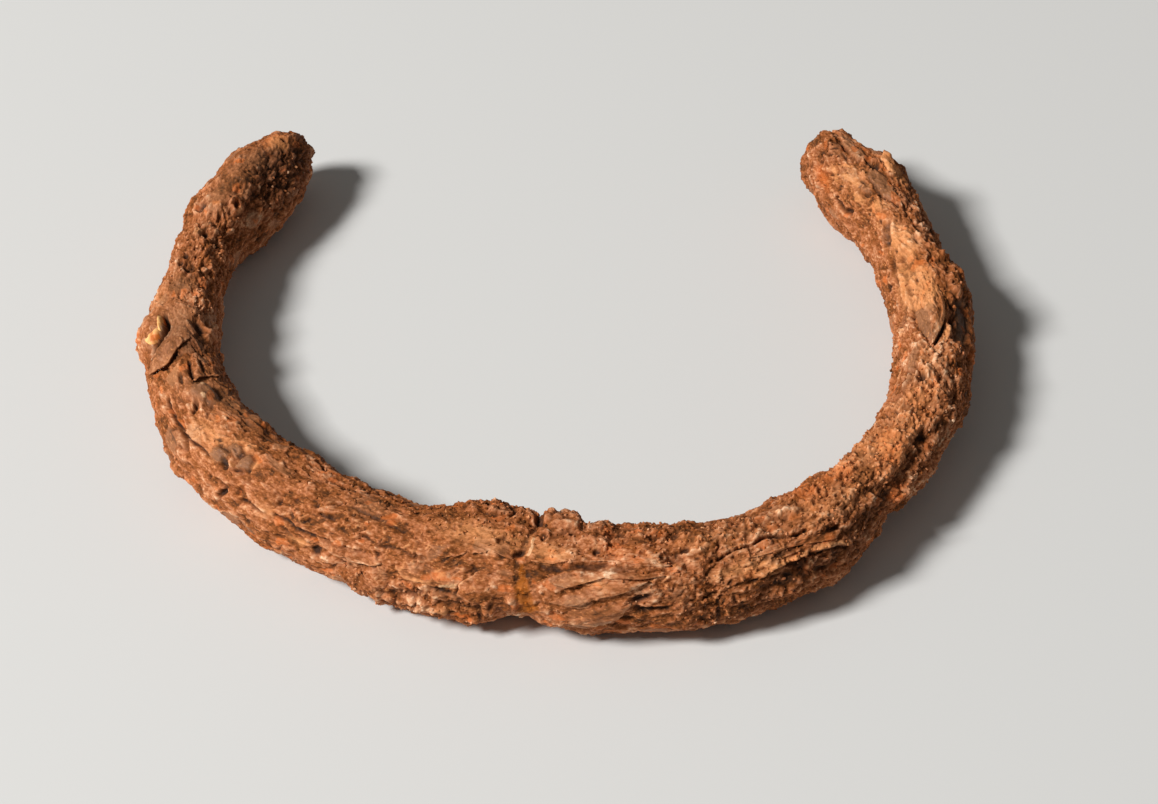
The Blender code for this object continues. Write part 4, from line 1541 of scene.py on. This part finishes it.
LEAVES = (
    Leaf(
        "overlapping scale of left arm",
        (
            (31.4, 90), (32, 104), (34.2, 122), (35.4, 111), (37.1, 85), (38.6, 62), (38.8, 44), (38, 26),
            (37, 32), (36.8, 48), (36.1, 64), (34.6, 78), (32.8, 86),
        ),
        350, lift=0.5, root=-0.3, thickness=0.32, smooth=0.5,
    ),
    Leaf(
        "ring ledge of left bend",
        (
            (41.2, 92), (41, 110), (41.4, 128), (42.3, 127), (42.2, 118), (42.1, 109), (42.3, 98), (42.7, 89),
            (42, 87),
        ),
        0, lift=0.42, root=-0.4, thickness=0.26, bow=0,
    ),
    Leaf(
        "upper band before break",
        (
            (72.4, 58), (74.1, 43), (75.4, 49), (76.9, 56), (78.6, 58), (79.9, 54), (80.3, 68), (79.8, 84),
            (76, 90), (73, 78),
        ),
        272, lift=0.26, root=-0.45, bow=0, ragged=0.3, smooth=0,
    ),
    Leaf(
        "scale beside stain",
        (
            (79.4, 53), (78.2, 43), (76.9, 34), (76.1, 23), (75.9, 9), (77.6, 2), (79.4, 6), (80.1, 22),
            (80, 44),
        ),
        195, lift=0.3, root=-0.45, ragged=0.3, smooth=0,
    ),
    Leaf(
        "low scale before block",
        ((70, 26), (71.4, 12), (73.4, 13), (74.9, 15), (76, 17), (75.6, 34), (73.2, 41), (71, 38)),
        275, lift=0.32, root=-0.3, smooth=0.2,
    ),
    Leaf(
        "low scale of front left",
        ((62.6, 30), (64, 16), (66, 12), (68.2, 14), (69.4, 22), (68, 34), (65, 38)),
        272, lift=0.28, root=-0.35, smooth=0.1,
    ),
    Leaf(
        "upper band after break",
        (
            (81.5, 56), (83.4, 56), (85, 62), (87.1, 64), (88.8, 63), (90.2, 58), (92.8, 56), (92.4, 72),
            (88, 84), (82, 78),
        ),
        270, lift=0.2, root=-0.4, thickness=0.24, bow=0, smooth=0,
    ),
    Leaf(
        "lower leaf of layered scale",
        (
            (82.5, 14), (83.6, 23), (84.9, 29), (85.7, 36), (86.9, 42), (88.4, 42), (91, 42), (90.2, 37),
            (89.1, 31), (87.4, 25), (85.8, 16), (84, 13),
        ),
        300, lift=0.44, root=-0.05, thickness=0.22, smooth=0.25, powder=0.1,
    ),
    Leaf(
        "upper leaf of layered scale",
        (
            (83.4, 36), (84.8, 33), (85.4, 40), (86.7, 46), (88.1, 45), (90.3, 44), (92.4, 46), (90.6, 53),
            (87.6, 59), (84.6, 52),
        ),
        276, lift=0.36, root=-0.3, thickness=0.26, bow=0.05, smooth=0.25,
    ),
    Leaf(
        "foot leaf of layered scale",
        (
            (83.4, 8), (85.8, 13), (88, 20), (89.6, 19), (89.2, 10), (88.6, 0), (87.6, -10), (85.4, -12),
            (83.6, -2),
        ),
        310, lift=0.34, root=-0.2, thickness=0.22, smooth=0.3,
    ),
    Leaf(
        "leaf over shaded ledge",
        (
            (96, 55), (97, 50), (98.6, 50), (100.1, 48), (101.7, 47), (104.1, 43), (106.4, 33), (107.4, 40),
            (105.2, 52), (102.6, 55), (99.8, 61), (97.6, 59),
        ),
        276, lift=0.24, root=-0.05, thickness=0.3, bow=0, ragged=0.3, smooth=0.1,
    ),
    Leaf(
        "lens of right arm",
        (
            (131.8, 93), (133.3, 108), (135, 119), (138, 126), (141.2, 124), (143.6, 116), (143.8, 106),
            (142.4, 98), (140.6, 89), (139, 80), (137.2, 77), (135.4, 79), (133.4, 86),
        ),
        235, lift=0.4, root=-0.2, thickness=0.32, bow=0.1, ragged=0.12, smooth=0.1, powder=0.35,
    ),
    Leaf(
        "bright flake of right terminal",
        ((156.2, 66), (156.8, 56), (158.3, 50), (159.8, 48), (160.6, 54), (160, 62), (159, 74), (157.8, 74)),
        45, lift=0.5, root=-0.1, thickness=0.4, smooth=0.1, powder=1,
    ),
)

CHIP = (
    Leaf(
        "pale chip on boss",
        (
            (34.5, 37), (34.1, 41), (34, 46), (33.9, 52), (33.7, 57), (33.5, 61), (34, 63), (34.6, 60),
            (35, 54), (35.3, 47), (35, 40),
        ),
        320, lift=0.24, root=0.2, thickness=0.5, bow=0.12, ragged=0.03, smooth=0.4, pitch=0.07,
    ),
    Leaf(
        "neck of pale chip",
        ((34.1, 59), (33.2, 58), (32.5, 58), (31.8, 60), (31.9, 63), (32.8, 65), (33.5, 65), (34.2, 62)),
        320, lift=0.22, root=0.2, thickness=0.4, bow=0.15, ragged=0.05, smooth=0.4, pitch=0.07,
    ),
)


@dataclass(frozen=True)
class LiftedLeaves:
    """Leaves of rust that stand off the skin, as one piece."""

    name: str
    leaves: tuple[Leaf, ...]
    soft_passes: int = 46

    def build(self, skin: Skin, finish: bpy.types.Material) -> bpy.types.Object:
        """Build the leaves as closed shells over the finished skin.

        Args:
            skin: the bar's skin.
            finish: the material of the leaves.

        Returns:
            The leaves' object.
        """
        soft_height = blurred(skin.height, self.soft_passes)
        points, faces, layers = [], [], {layer: [] for layer in Layer}
        for leaf in self.leaves:
            LOG.debug("%s", leaf.name)
            start = sum(len(part) for part in points)
            leaf_points, leaf_faces, leaf_layers = leaf.shell(skin, soft_height)
            points.append(leaf_points)
            faces.extend(tuple(start + corner for corner in face) for face in leaf_faces)
            for layer in Layer:
                layers[layer].append(leaf_layers[layer])
        layers = {layer: np.concatenate(parts) for layer, parts in layers.items()}
        return shell_piece(self.name, np.concatenate(points), faces, layers, finish)


def new_piece(name: str, mesh: bpy.types.Mesh) -> bpy.types.Object:
    """Return a new object with the mesh, linked to the scene.

    Args:
        name: the name of the object.
        mesh: its mesh.

    Returns:
        The object.
    """
    piece = bpy.data.objects.new(name, mesh)
    bpy.context.scene.collection.objects.link(piece)
    return piece


def shell_piece(
    name: str, points: np.ndarray, faces: list[tuple[int, ...]], layers: dict[Layer, np.ndarray],
    finish: bpy.types.Material,
) -> bpy.types.Object:
    """Build a smooth-shaded piece that keeps its layers as attributes.

    Args:
        name: the name of the piece.
        points: its points, in millimetres.
        faces: its faces, as numbers of points.
        layers: one value or vector for each point, for each layer.
        finish: its material.

    Returns:
        The finished object.
    """
    mesh = bpy.data.meshes.new(name)
    mesh.from_pydata((points * MM).tolist(), [], faces)
    for layer, values in layers.items():
        kind, slot = ("FLOAT_VECTOR", "vector") if layer is Layer.BAR else ("FLOAT", "value")
        store = mesh.attributes.new(layer.value, kind, "POINT")
        store.data.foreach_set(slot, values.astype(np.float32).ravel())
    mesh.materials.append(finish)
    mesh.shade_smooth()
    return new_piece(name, mesh)


def linear(colour: str) -> tuple[float, float, float, float]:
    """Return the linear values of an sRGB hex colour such as '9b5a37', with full cover.

    Args:
        colour: six hex digits.

    Returns:
        Red, green, blue and cover.
    """
    shares = [int(colour[index:index + 2], 16) / 255.0 for index in (0, 2, 4)]
    parts = [s / 12.92 if s <= 0.04045 else ((s + 0.055) / 1.055) ** 2.4 for s in shares]
    return (*parts, 1.0)


def blank_material(name: str) -> tuple[bpy.types.Material, bpy.types.NodeTree, bpy.types.Node]:
    """Start a material.

    Args:
        name: the name of the material.

    Returns:
        The material, its node tree and its shader.
    """
    material = bpy.data.materials.new(name)
    material.use_nodes = True
    return material, material.node_tree, material.node_tree.nodes["Principled BSDF"]


def add_node(
    tree: bpy.types.NodeTree, kind: str, sources: dict[str | int, object] | None = None, **settings: object
) -> bpy.types.Node:
    """Add a node, with its settings, its input values and its links.

    Args:
        tree: the node tree that gets the node.
        kind: the node's type name.
        sources: what goes in each input, by name or number: a socket to link, or a value.
        settings: the node's own settings, and stops for a ramp as (place, hex colour).

    Returns:
        The new node.
    """
    node = tree.nodes.new(kind)
    for place, (position, colour) in enumerate(settings.pop("stops", ())):
        ramp = node.color_ramp.elements
        stop = ramp[place] if place < 2 else ramp.new(position)
        stop.position = position
        stop.color = linear(colour)
    for name, value in settings.items():
        setattr(node, name, value)
    for key, value in (sources or {}).items():
        if isinstance(value, bpy.types.NodeSocket):
            tree.links.new(value, node.inputs[key])
        else:
            node.inputs[key].default_value = value
    return node


@dataclass(frozen=True)
class RustGrains:
    """Angular grains of rust bedded in the skin along one stretch of the bar.

    start and end bound the stretch, in millimetres along the bar. spacing is the least
    distance between grains, and smallest and largest are their radii. A grain is drawn out by
    slimmest to stoutest times its radius, and its corners lie within corner_reach of it.
    """

    name: str
    start: float
    end: float
    spacing: float = 0.36
    smallest: float = 0.08
    largest: float = 0.2
    slimmest: float = 0.6
    stoutest: float = 1.3
    least_cover: float = 0.0
    per_square_mm: float = 7.0
    shapes: int = 6
    corners: int = 15
    corner_reach: tuple[float, float] = (0.8, 1.05)
    lowest: float = 0.9
    highest: float = 9.75
    seed: int = 5

    def grain_shapes(self) -> bpy.types.Collection:
        """Build the few grain shapes that repeat: hulls round random corners on a unit ball."""
        shapes = bpy.data.collections.new(self.name + "_shapes")
        chance = np.random.default_rng(self.seed)
        for number in range(self.shapes):
            corners = chance.normal(size=(self.corners, 3))
            corners /= np.linalg.norm(corners, axis=1, keepdims=True)
            corners *= chance.uniform(*self.corner_reach, size=(self.corners, 1))
            body = bmesh.new()
            for corner in corners:
                body.verts.new(corner)
            bmesh.ops.convex_hull(body, input=body.verts)
            bmesh.ops.delete(body, geom=[v for v in body.verts if not v.link_faces], context="VERTS")
            bmesh.ops.recalc_face_normals(body, faces=body.faces)
            mesh = bpy.data.meshes.new(f"{self.name}_{number}")
            body.to_mesh(mesh)
            body.free()
            shapes.objects.link(bpy.data.objects.new(mesh.name, mesh))
        return shapes

    def scatter_tree(self) -> bpy.types.NodeTree:
        """Build the node tree that beds grains in the skin, closer where the crust is granular."""
        tree = bpy.data.node_groups.new(self.name, "GeometryNodeTree")
        tree.interface.new_socket("Geometry", in_out="OUTPUT", socket_type="NodeSocketGeometry")
        for kind, names in (
            ("Geometry", ("Geometry",)),
            ("Float", ("Start", "End", "Spacing", "Smallest", "Largest", "Least Cover", "Per Area")),
            ("Float", ("Lowest", "Highest")),
            ("Collection", ("Shapes",)),
            ("Material", ("Finish",)),
        ):
            for name in names:
                tree.interface.new_socket(name, in_out="INPUT", socket_type="NodeSocket" + kind)
        given = add_node(tree, "NodeGroupInput").outputs
        bar_place = add_node(
            tree, "GeometryNodeInputNamedAttribute", {"Name": Layer.BAR.value}, data_type="FLOAT_VECTOR"
        ).outputs["Attribute"]
        place = add_node(tree, "ShaderNodeSeparateXYZ", {0: bar_place}).outputs["X"]
        position = add_node(tree, "GeometryNodeInputPosition").outputs[0]
        height = add_node(tree, "ShaderNodeSeparateXYZ", {0: position}).outputs["Z"]
        crust, plate, hollow = (
            add_node(tree, "GeometryNodeInputNamedAttribute", {"Name": layer.value}, data_type="FLOAT")
            .outputs["Attribute"] for layer in (Layer.CRUST, Layer.PLATE, Layer.HOLLOW)
        )
        sources = {0: crust, 1: given["Least Cover"]}
        cover = add_node(tree, "ShaderNodeMath", sources, operation="MAXIMUM").outputs[0]
        for operation, first, second in (
            ("SUBTRACT", 1.0, plate),
            ("SUBTRACT", 1.0, hollow),
            ("GREATER_THAN", place, given["Start"]),
            ("LESS_THAN", place, given["End"]),
            ("GREATER_THAN", height, given["Lowest"]),
            ("LESS_THAN", height, given["Highest"]),
        ):
            kept = add_node(tree, "ShaderNodeMath", {0: first, 1: second}, operation=operation).outputs[0]
            cover = add_node(tree, "ShaderNodeMath", {0: cover, 1: kept}, operation="MULTIPLY").outputs[0]
        bedded = add_node(
            tree, "GeometryNodeDistributePointsOnFaces",
            {
                "Mesh": given["Geometry"], "Distance Min": given["Spacing"], "Density Max": given["Per Area"],
                "Density Factor": cover, "Seed": self.seed,
            },
            distribute_method="POISSON",
        ).outputs["Points"]
        for layer, value in (
            (Layer.HOLLOW, 0.0),
            (Layer.TONE, add_node(tree, "FunctionNodeRandomValue", {"Seed": self.seed + 1}).outputs[1]),
        ):
            bedded = add_node(
                tree, "GeometryNodeStoreNamedAttribute",
                {"Geometry": bedded, "Name": layer.value, "Value": value},
            ).outputs["Geometry"]
        turn, stretch = (
            add_node(
                tree, "FunctionNodeRandomValue", {0: (least,) * 3, 1: (most,) * 3, "Seed": self.seed + step},
                data_type="FLOAT_VECTOR",
            ).outputs[0]
            for least, most, step in ((0.0, 2.0 * math.pi, 2), (self.slimmest, self.stoutest, 4))
        )
        size = add_node(
            tree, "FunctionNodeRandomValue",
            {2: given["Smallest"], 3: given["Largest"], "Seed": self.seed + 3},
        ).outputs[1]
        shapes = add_node(
            tree, "GeometryNodeCollectionInfo",
            {"Collection": given["Shapes"], "Separate Children": True, "Reset Children": True},
        ).outputs["Instances"]
        scale = add_node(tree, "ShaderNodeVectorMath", {0: stretch, "Scale": size}, operation="SCALE")
        rotation = add_node(tree, "FunctionNodeEulerToRotation", {0: turn})
        grains = add_node(
            tree, "GeometryNodeInstanceOnPoints",
            {
                "Points": bedded, "Instance": shapes, "Pick Instance": True,
                "Rotation": rotation.outputs[0], "Scale": scale.outputs[0],
            },
        ).outputs["Instances"]
        solid = add_node(tree, "GeometryNodeRealizeInstances", {"Geometry": grains}).outputs["Geometry"]
        dressed = add_node(
            tree, "GeometryNodeSetMaterial", {"Geometry": solid, "Material": given["Finish"]}
        ).outputs["Geometry"]
        add_node(tree, "NodeGroupOutput", {0: dressed})
        return tree

    def build(self, bar: bpy.types.Object, finish: bpy.types.Material) -> bpy.types.Object:
        """Scatter the grains over the bar and return them as one plain mesh object.

        Args:
            bar: the finished bar, whose skin carries the grains.
            finish: the material of the grains.

        Returns:
            The grains' object.
        """
        tree = self.scatter_tree()
        shapes = self.grain_shapes()
        host = new_piece(self.name + "_host", bar.data)
        scatter = host.modifiers.new("grains", "NODES")
        scatter.node_group = tree
        values = {
            "Start": self.start, "End": self.end, "Spacing": self.spacing * MM,
            "Smallest": self.smallest * MM, "Largest": self.largest * MM,
            "Least Cover": self.least_cover, "Per Area": self.per_square_mm / MM ** 2,
            "Lowest": self.lowest * MM, "Highest": self.highest * MM,
            "Shapes": shapes, "Finish": finish,
        }
        for socket in tree.interface.items_tree:
            if socket.in_out == "INPUT" and socket.name in values:
                scatter[socket.identifier] = values[socket.name]
        graph = bpy.context.evaluated_depsgraph_get()
        mesh = bpy.data.meshes.new_from_object(host.evaluated_get(graph), depsgraph=graph)
        mesh.name = self.name
        for spare in [host, *shapes.objects]:
            bpy.data.objects.remove(spare, do_unlink=True)
        bpy.data.collections.remove(shapes)
        return new_piece(self.name, mesh)


@dataclass(frozen=True)
class CorrodedIron:
    """Iron rusted through to a flaking crust: matt, brown to orange, with duller smooth scales.

    The eye gets a dry mineral surface: dark brown in the pores, with painted shade in the
    hollows, cracks and under the scales, orange on broken edges, pale powder and a painted
    highlight on the tops, purple-grey where a smooth magnetite scale shows, painted glints on
    the grey blister's beads, and tiny glints from its crystals. The covers are how far each
    colour hides what lies under it.
    """

    name: str = "corroded_iron"
    rust: tuple[tuple[float, str], ...] = (
        (0.0, "341a02"),
        (0.24, "683606"),
        (0.44, "93501f"),
        (0.62, "b46d42"),
        (0.8, "cc8e64"),
        (1.0, "f0c6a0"),
    )
    scale_dark: str = "744a2c"
    scale_light: str = "b07850"
    bright: str = "d86e2a"
    powder: str = "ea9e60"
    stain: str = "ae5e0a"
    # The pale colour also paints glints on the grey blister's beads.
    pale: str = "eab888"
    # The dark of open pores, also laid as painted shade over the hollows.
    pore_and_shade: str = "260f02"
    scale_cover: float = 0.85
    bright_cover: float = 0.55
    powder_cover: float = 0.58
    stain_cover: float = 0.85
    pale_cover: float = 0.8
    painted_shade_cover: float = 0.85
    full_at: float = 0.95
    matt: float = 0.86
    scale_gloss: float = 0.68
    shine: float = 0.32
    patch_size: float = 6.0
    mottle_size: float = 1.4
    grain_size: float = 0.28
    dust_size: float = 0.15
    bump_depth: float = 0.11

    def build(self) -> bpy.types.Material:
        """Build the material from the skin's layers and noise laid along the bar."""
        material, tree, shader = blank_material(self.name)
        nodes = {layer: add_node(tree, "ShaderNodeAttribute", attribute_name=layer.value) for layer in Layer}
        read = {layer: node.outputs["Fac"] for layer, node in nodes.items()}
        place = nodes[Layer.BAR].outputs["Vector"]
        along_bar = add_node(
            tree, "ShaderNodeMapping", {"Vector": place, "Scale": (0.6, 1.0, 1.0)}
        ).outputs["Vector"]
        patches, dust, mottle = (
            add_node(tree, "ShaderNodeTexNoise", {"Vector": along_bar, "Scale": 1.0 / size, "Detail": detail})
            .outputs["Fac"]
            for size, detail in ((self.patch_size, 3.0), (self.dust_size, 3.0), (self.mottle_size, 4.0))
        )
        grains = add_node(tree, "ShaderNodeTexVoronoi", {"Vector": along_bar, "Scale": 1.0 / self.grain_size})
        grain_chance = add_node(tree, "ShaderNodeSeparateColor", {"Color": grains.outputs["Color"]})
        # The tips are painted lighter, partly as a painted highlight, and the hollows darker as painted
        # shade.
        shade = self.weighted(tree, -0.665, (
            (patches, 0.6),
            (mottle, 0.82),
            (dust, 0.5),
            (grains.outputs["Distance"], -0.25),
            (grain_chance.outputs["Red"], 0.16),
            (read[Layer.TONE], 0.4),
            (read[Layer.POWDER], 0.16),
            (read[Layer.TIP], 0.24),
            (read[Layer.HOLLOW], -0.16),
        ))
        colour = add_node(tree, "ShaderNodeValToRGB", {"Fac": shade}, stops=self.rust).outputs["Color"]
        scale = add_node(
            tree, "ShaderNodeMix", {0: mottle, 6: linear(self.scale_dark), 7: linear(self.scale_light)},
            data_type="RGBA",
        ).outputs[2]
        covers = [(scale, read[Layer.PLATE], self.scale_cover)]
        for layer, noise, softness, hue, cover in (
            (Layer.ORANGE, mottle, 0.5, self.bright, self.bright_cover),
            (Layer.POWDER, mottle, 0.6, self.powder, self.powder_cover),
            (Layer.STAIN, mottle, 0.4, self.stain, self.stain_cover),
            (Layer.PALE, dust, 0.3, self.pale, self.pale_cover),
        ):
            # The noise breaks the layer's rim up into specks.
            mixed = add_node(tree, "ShaderNodeMath", {0: read[layer], 1: noise}, operation="ADD").outputs[0]
            start, end = self.full_at - softness / 2, self.full_at + softness
            share = add_node(
                tree, "ShaderNodeMapRange", {"Value": mixed, "From Min": start, "From Max": end},
                interpolation_type="SMOOTHSTEP",
            ).outputs["Result"]
            covers.append((linear(hue), share, cover))
        # Dust lies in pale specks, and pores stay open between them.
        for start, end, hue, cover in ((0.6, 0.7, self.powder, 0.5), (0.38, 0.3, self.pore_and_shade, 0.35)):
            share = add_node(tree, "ShaderNodeMapRange", {"Value": dust, "From Min": start, "From Max": end})
            covers.append((linear(hue), share.outputs["Result"], cover))
        # Painted shade: the pore colour over hollows, cracks, gaps and undersides.
        covers.append((linear(self.pore_and_shade), read[Layer.HOLLOW], self.painted_shade_cover))
        for over, share, cover in covers:
            part = add_node(tree, "ShaderNodeMath", {0: share, 1: cover}, operation="MULTIPLY").outputs[0]
            colour = add_node(
                tree, "ShaderNodeMix", {0: part, 6: colour, 7: over}, data_type="RGBA"
            ).outputs[2]
        rough = self.weighted(tree, self.matt, (
            (read[Layer.PLATE], self.scale_gloss - self.matt),
            (grain_chance.outputs["Green"], -0.12),
        ))
        height = self.weighted(tree, 0.0, (
            (dust, 0.6),
            (grains.outputs["Distance"], -0.5),
            (grain_chance.outputs["Blue"], 0.25),
        ))
        bump = add_node(
            tree, "ShaderNodeBump", {"Height": height, "Strength": 0.8, "Distance": self.bump_depth * MM}
        ).outputs["Normal"]
        for name, source in (("Base Color", colour), ("Roughness", rough), ("Normal", bump)):
            tree.links.new(source, shader.inputs[name])
        shader.inputs["Specular IOR Level"].default_value = self.shine
        return material

    @staticmethod
    def weighted(
        tree: bpy.types.NodeTree, start: float, parts: tuple[tuple[bpy.types.NodeSocket, float], ...]
    ) -> bpy.types.NodeSocket:
        """Return start plus each source times its weight.

        Args:
            tree: the node tree that does the sum.
            start: the number to start from.
            parts: the sources and their weights.

        Returns:
            The socket with the sum.
        """
        total = start
        for source, weight in parts:
            sources = {0: source, 1: weight, 2: total}
            total = add_node(tree, "ShaderNodeMath", sources, operation="MULTIPLY_ADD").outputs[0]
        return total


@dataclass(frozen=True)
class GlassyRust:
    """A dried drop of yellow iron oxide: cream-gold and half smooth, brighter than all round it."""

    name: str = "yellow_iron_oxide"
    deep: str = "cc6c24"
    light: str = "f8bc74"
    deep_at: float = 0.28
    light_at: float = 0.46
    gloss: float = 0.6
    cloud_size: float = 0.9
    painted_shade_strength: float = 0.6
    bump_depth: float = 0.2

    def build(self) -> bpy.types.Material:
        """Build the material: soft clouds of cream in gold, with painted shade where it lies in a hollow."""
        material, tree, shader = blank_material(self.name)
        place = add_node(tree, "ShaderNodeAttribute", attribute_name=Layer.BAR.value).outputs["Vector"]
        cloud = add_node(
            tree, "ShaderNodeTexNoise", {"Vector": place, "Scale": 1.0 / self.cloud_size, "Detail": 4.0}
        ).outputs["Fac"]
        hollow = add_node(tree, "ShaderNodeAttribute", attribute_name=Layer.HOLLOW.value).outputs["Fac"]
        # Painted shade: the colour goes deeper where the chip lies in a hollow.
        shade = add_node(
            tree, "ShaderNodeMath", {0: hollow, 1: -self.painted_shade_strength, 2: cloud}, operation="MULTIPLY_ADD"
        ).outputs[0]
        colour = add_node(
            tree, "ShaderNodeValToRGB", {"Fac": shade},
            stops=((self.deep_at, self.deep), (self.light_at, self.light)),
        ).outputs["Color"]
        tree.links.new(colour, shader.inputs["Base Color"])
        shader.inputs["Roughness"].default_value = self.gloss
        bump = add_node(
            tree, "ShaderNodeBump", {"Height": cloud, "Strength": 0.4, "Distance": self.bump_depth * MM}
        ).outputs["Normal"]
        tree.links.new(bump, shader.inputs["Normal"])
        return material


@dataclass(frozen=True)
class PaleTable:
    """Smooth painted board: a plain, matt, pale surface that shows only the shadow on it."""

    name: str = "pale_painted_board"
    colour: str = "d6d5d2"
    matt: float = 0.9
    shine: float = 0.2

    def build(self) -> bpy.types.Material:
        """Build the material."""
        material, _, shader = blank_material(self.name)
        shader.inputs["Base Color"].default_value = linear(self.colour)
        shader.inputs["Roughness"].default_value = self.matt
        shader.inputs["Specular IOR Level"].default_value = self.shine
        return material


@dataclass(frozen=True)
class Studio:
    """The floor, the lights and the camera. Lengths here are in metres, but the lens's in mm."""

    floor_width: float = 6.0
    camera_place: tuple[float, float, float] = (0.00216, -0.2232, 0.2004)
    camera_target: tuple[float, float, float] = (0.00216, -0.00061, 0.0)
    camera_reach: tuple[float, float] = (0.01, 50.0)
    lens: float = 99.08
    sensor: float = 36.0
    key_place: tuple[float, float, float] = (-0.96, -0.41, 0.96)
    key_target: tuple[float, float, float] = (0.0, 0.0, 0.0)
    key_size: float = 0.32
    key_watts: float = 27.0
    sky: str = "e8e6e2"
    sky_strength: float = 0.16

    def build_floor(self) -> bpy.types.Object:
        """Build the floor under the bracelet."""
        half = self.floor_width / 2
        corners = [(-half, -half, 0.0), (half, -half, 0.0), (half, half, 0.0), (-half, half, 0.0)]
        mesh = bpy.data.meshes.new("floor")
        mesh.from_pydata(corners, [], [(0, 1, 2, 3)])
        mesh.materials.append(PaleTable().build())
        floor = new_piece("floor", mesh)
        return floor

    def aim(
        self, thing: bpy.types.Object, place: tuple[float, float, float], target: tuple[float, float, float]
    ) -> None:
        """Put a light or a camera at a place and turn it to a target.

        Args:
            thing: the light's or the camera's object, not yet linked to the scene.
            place, target: points in metres.
        """
        thing.location = place
        thing.rotation_euler = (Vector(target) - Vector(place)).to_track_quat("-Z", "Y").to_euler()
        bpy.context.scene.collection.objects.link(thing)

    def build_lights(self) -> None:
        """Build the soft key light from the left and the even light of the room."""
        lamp = bpy.data.lights.new("key", "AREA")
        lamp.size = self.key_size
        lamp.energy = self.key_watts
        self.aim(bpy.data.objects.new("key", lamp), self.key_place, self.key_target)
        world = bpy.data.worlds.new("room")
        world.use_nodes = True
        background = world.node_tree.nodes["Background"]
        background.inputs["Color"].default_value = linear(self.sky)
        background.inputs["Strength"].default_value = self.sky_strength
        bpy.context.scene.world = world

    def build_camera(self) -> None:
        """Build the camera where the photograph was taken from."""
        camera = bpy.data.cameras.new("camera")
        camera.lens = self.lens
        camera.sensor_width = self.sensor
        camera.clip_start, camera.clip_end = self.camera_reach
        eye = bpy.data.objects.new("camera", camera)
        self.aim(eye, self.camera_place, self.camera_target)
        bpy.context.scene.camera = eye

    def build(self) -> None:
        """Build the whole studio."""
        self.build_floor()
        self.build_lights()
        self.build_camera()
        bpy.context.scene.view_settings.view_transform = "Standard"


def report(piece: bpy.types.Object) -> None:
    """Report a finished piece and its size."""
    LOG.info("%s: %d faces", piece.name, len(piece.data.polygons))


def main() -> None:
    """Build the bracelet's pieces in order, then the studio round them."""
    logging.basicConfig(level=logging.INFO, format="%(message)s")
    rust = CorrodedIron().build()
    yellow = GlassyRust().build()
    sides = ("left", "front", "right")
    bar = BraceletBar()
    stretches, skin = bar.build(tuple(f"bracelet_{side}" for side in sides), rust)
    bounds = (0.0, *bar.seams, bar.form.length())
    pieces = []
    for side, stretch, start, end in zip(sides, stretches, bounds[:-1], bounds[1:]):
        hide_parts("bracelet")
        here = tuple(leaf for leaf in LEAVES if start <= leaf.outline[0][0] < end)
        leaves = LiftedLeaves(f"lifted_leaves_{side}", here).build(skin, rust)
        grains = RustGrains(f"rust_grains_{side}", start, end).build(stretch, rust)
        pieces += [stretch, leaves, grains]
    pieces.append(LiftedLeaves("pale_chip", CHIP).build(skin, yellow))
    for piece in pieces:
        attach(piece, "root")
        report(piece)
    Studio().build()


if __name__ == "__main__":
    main()
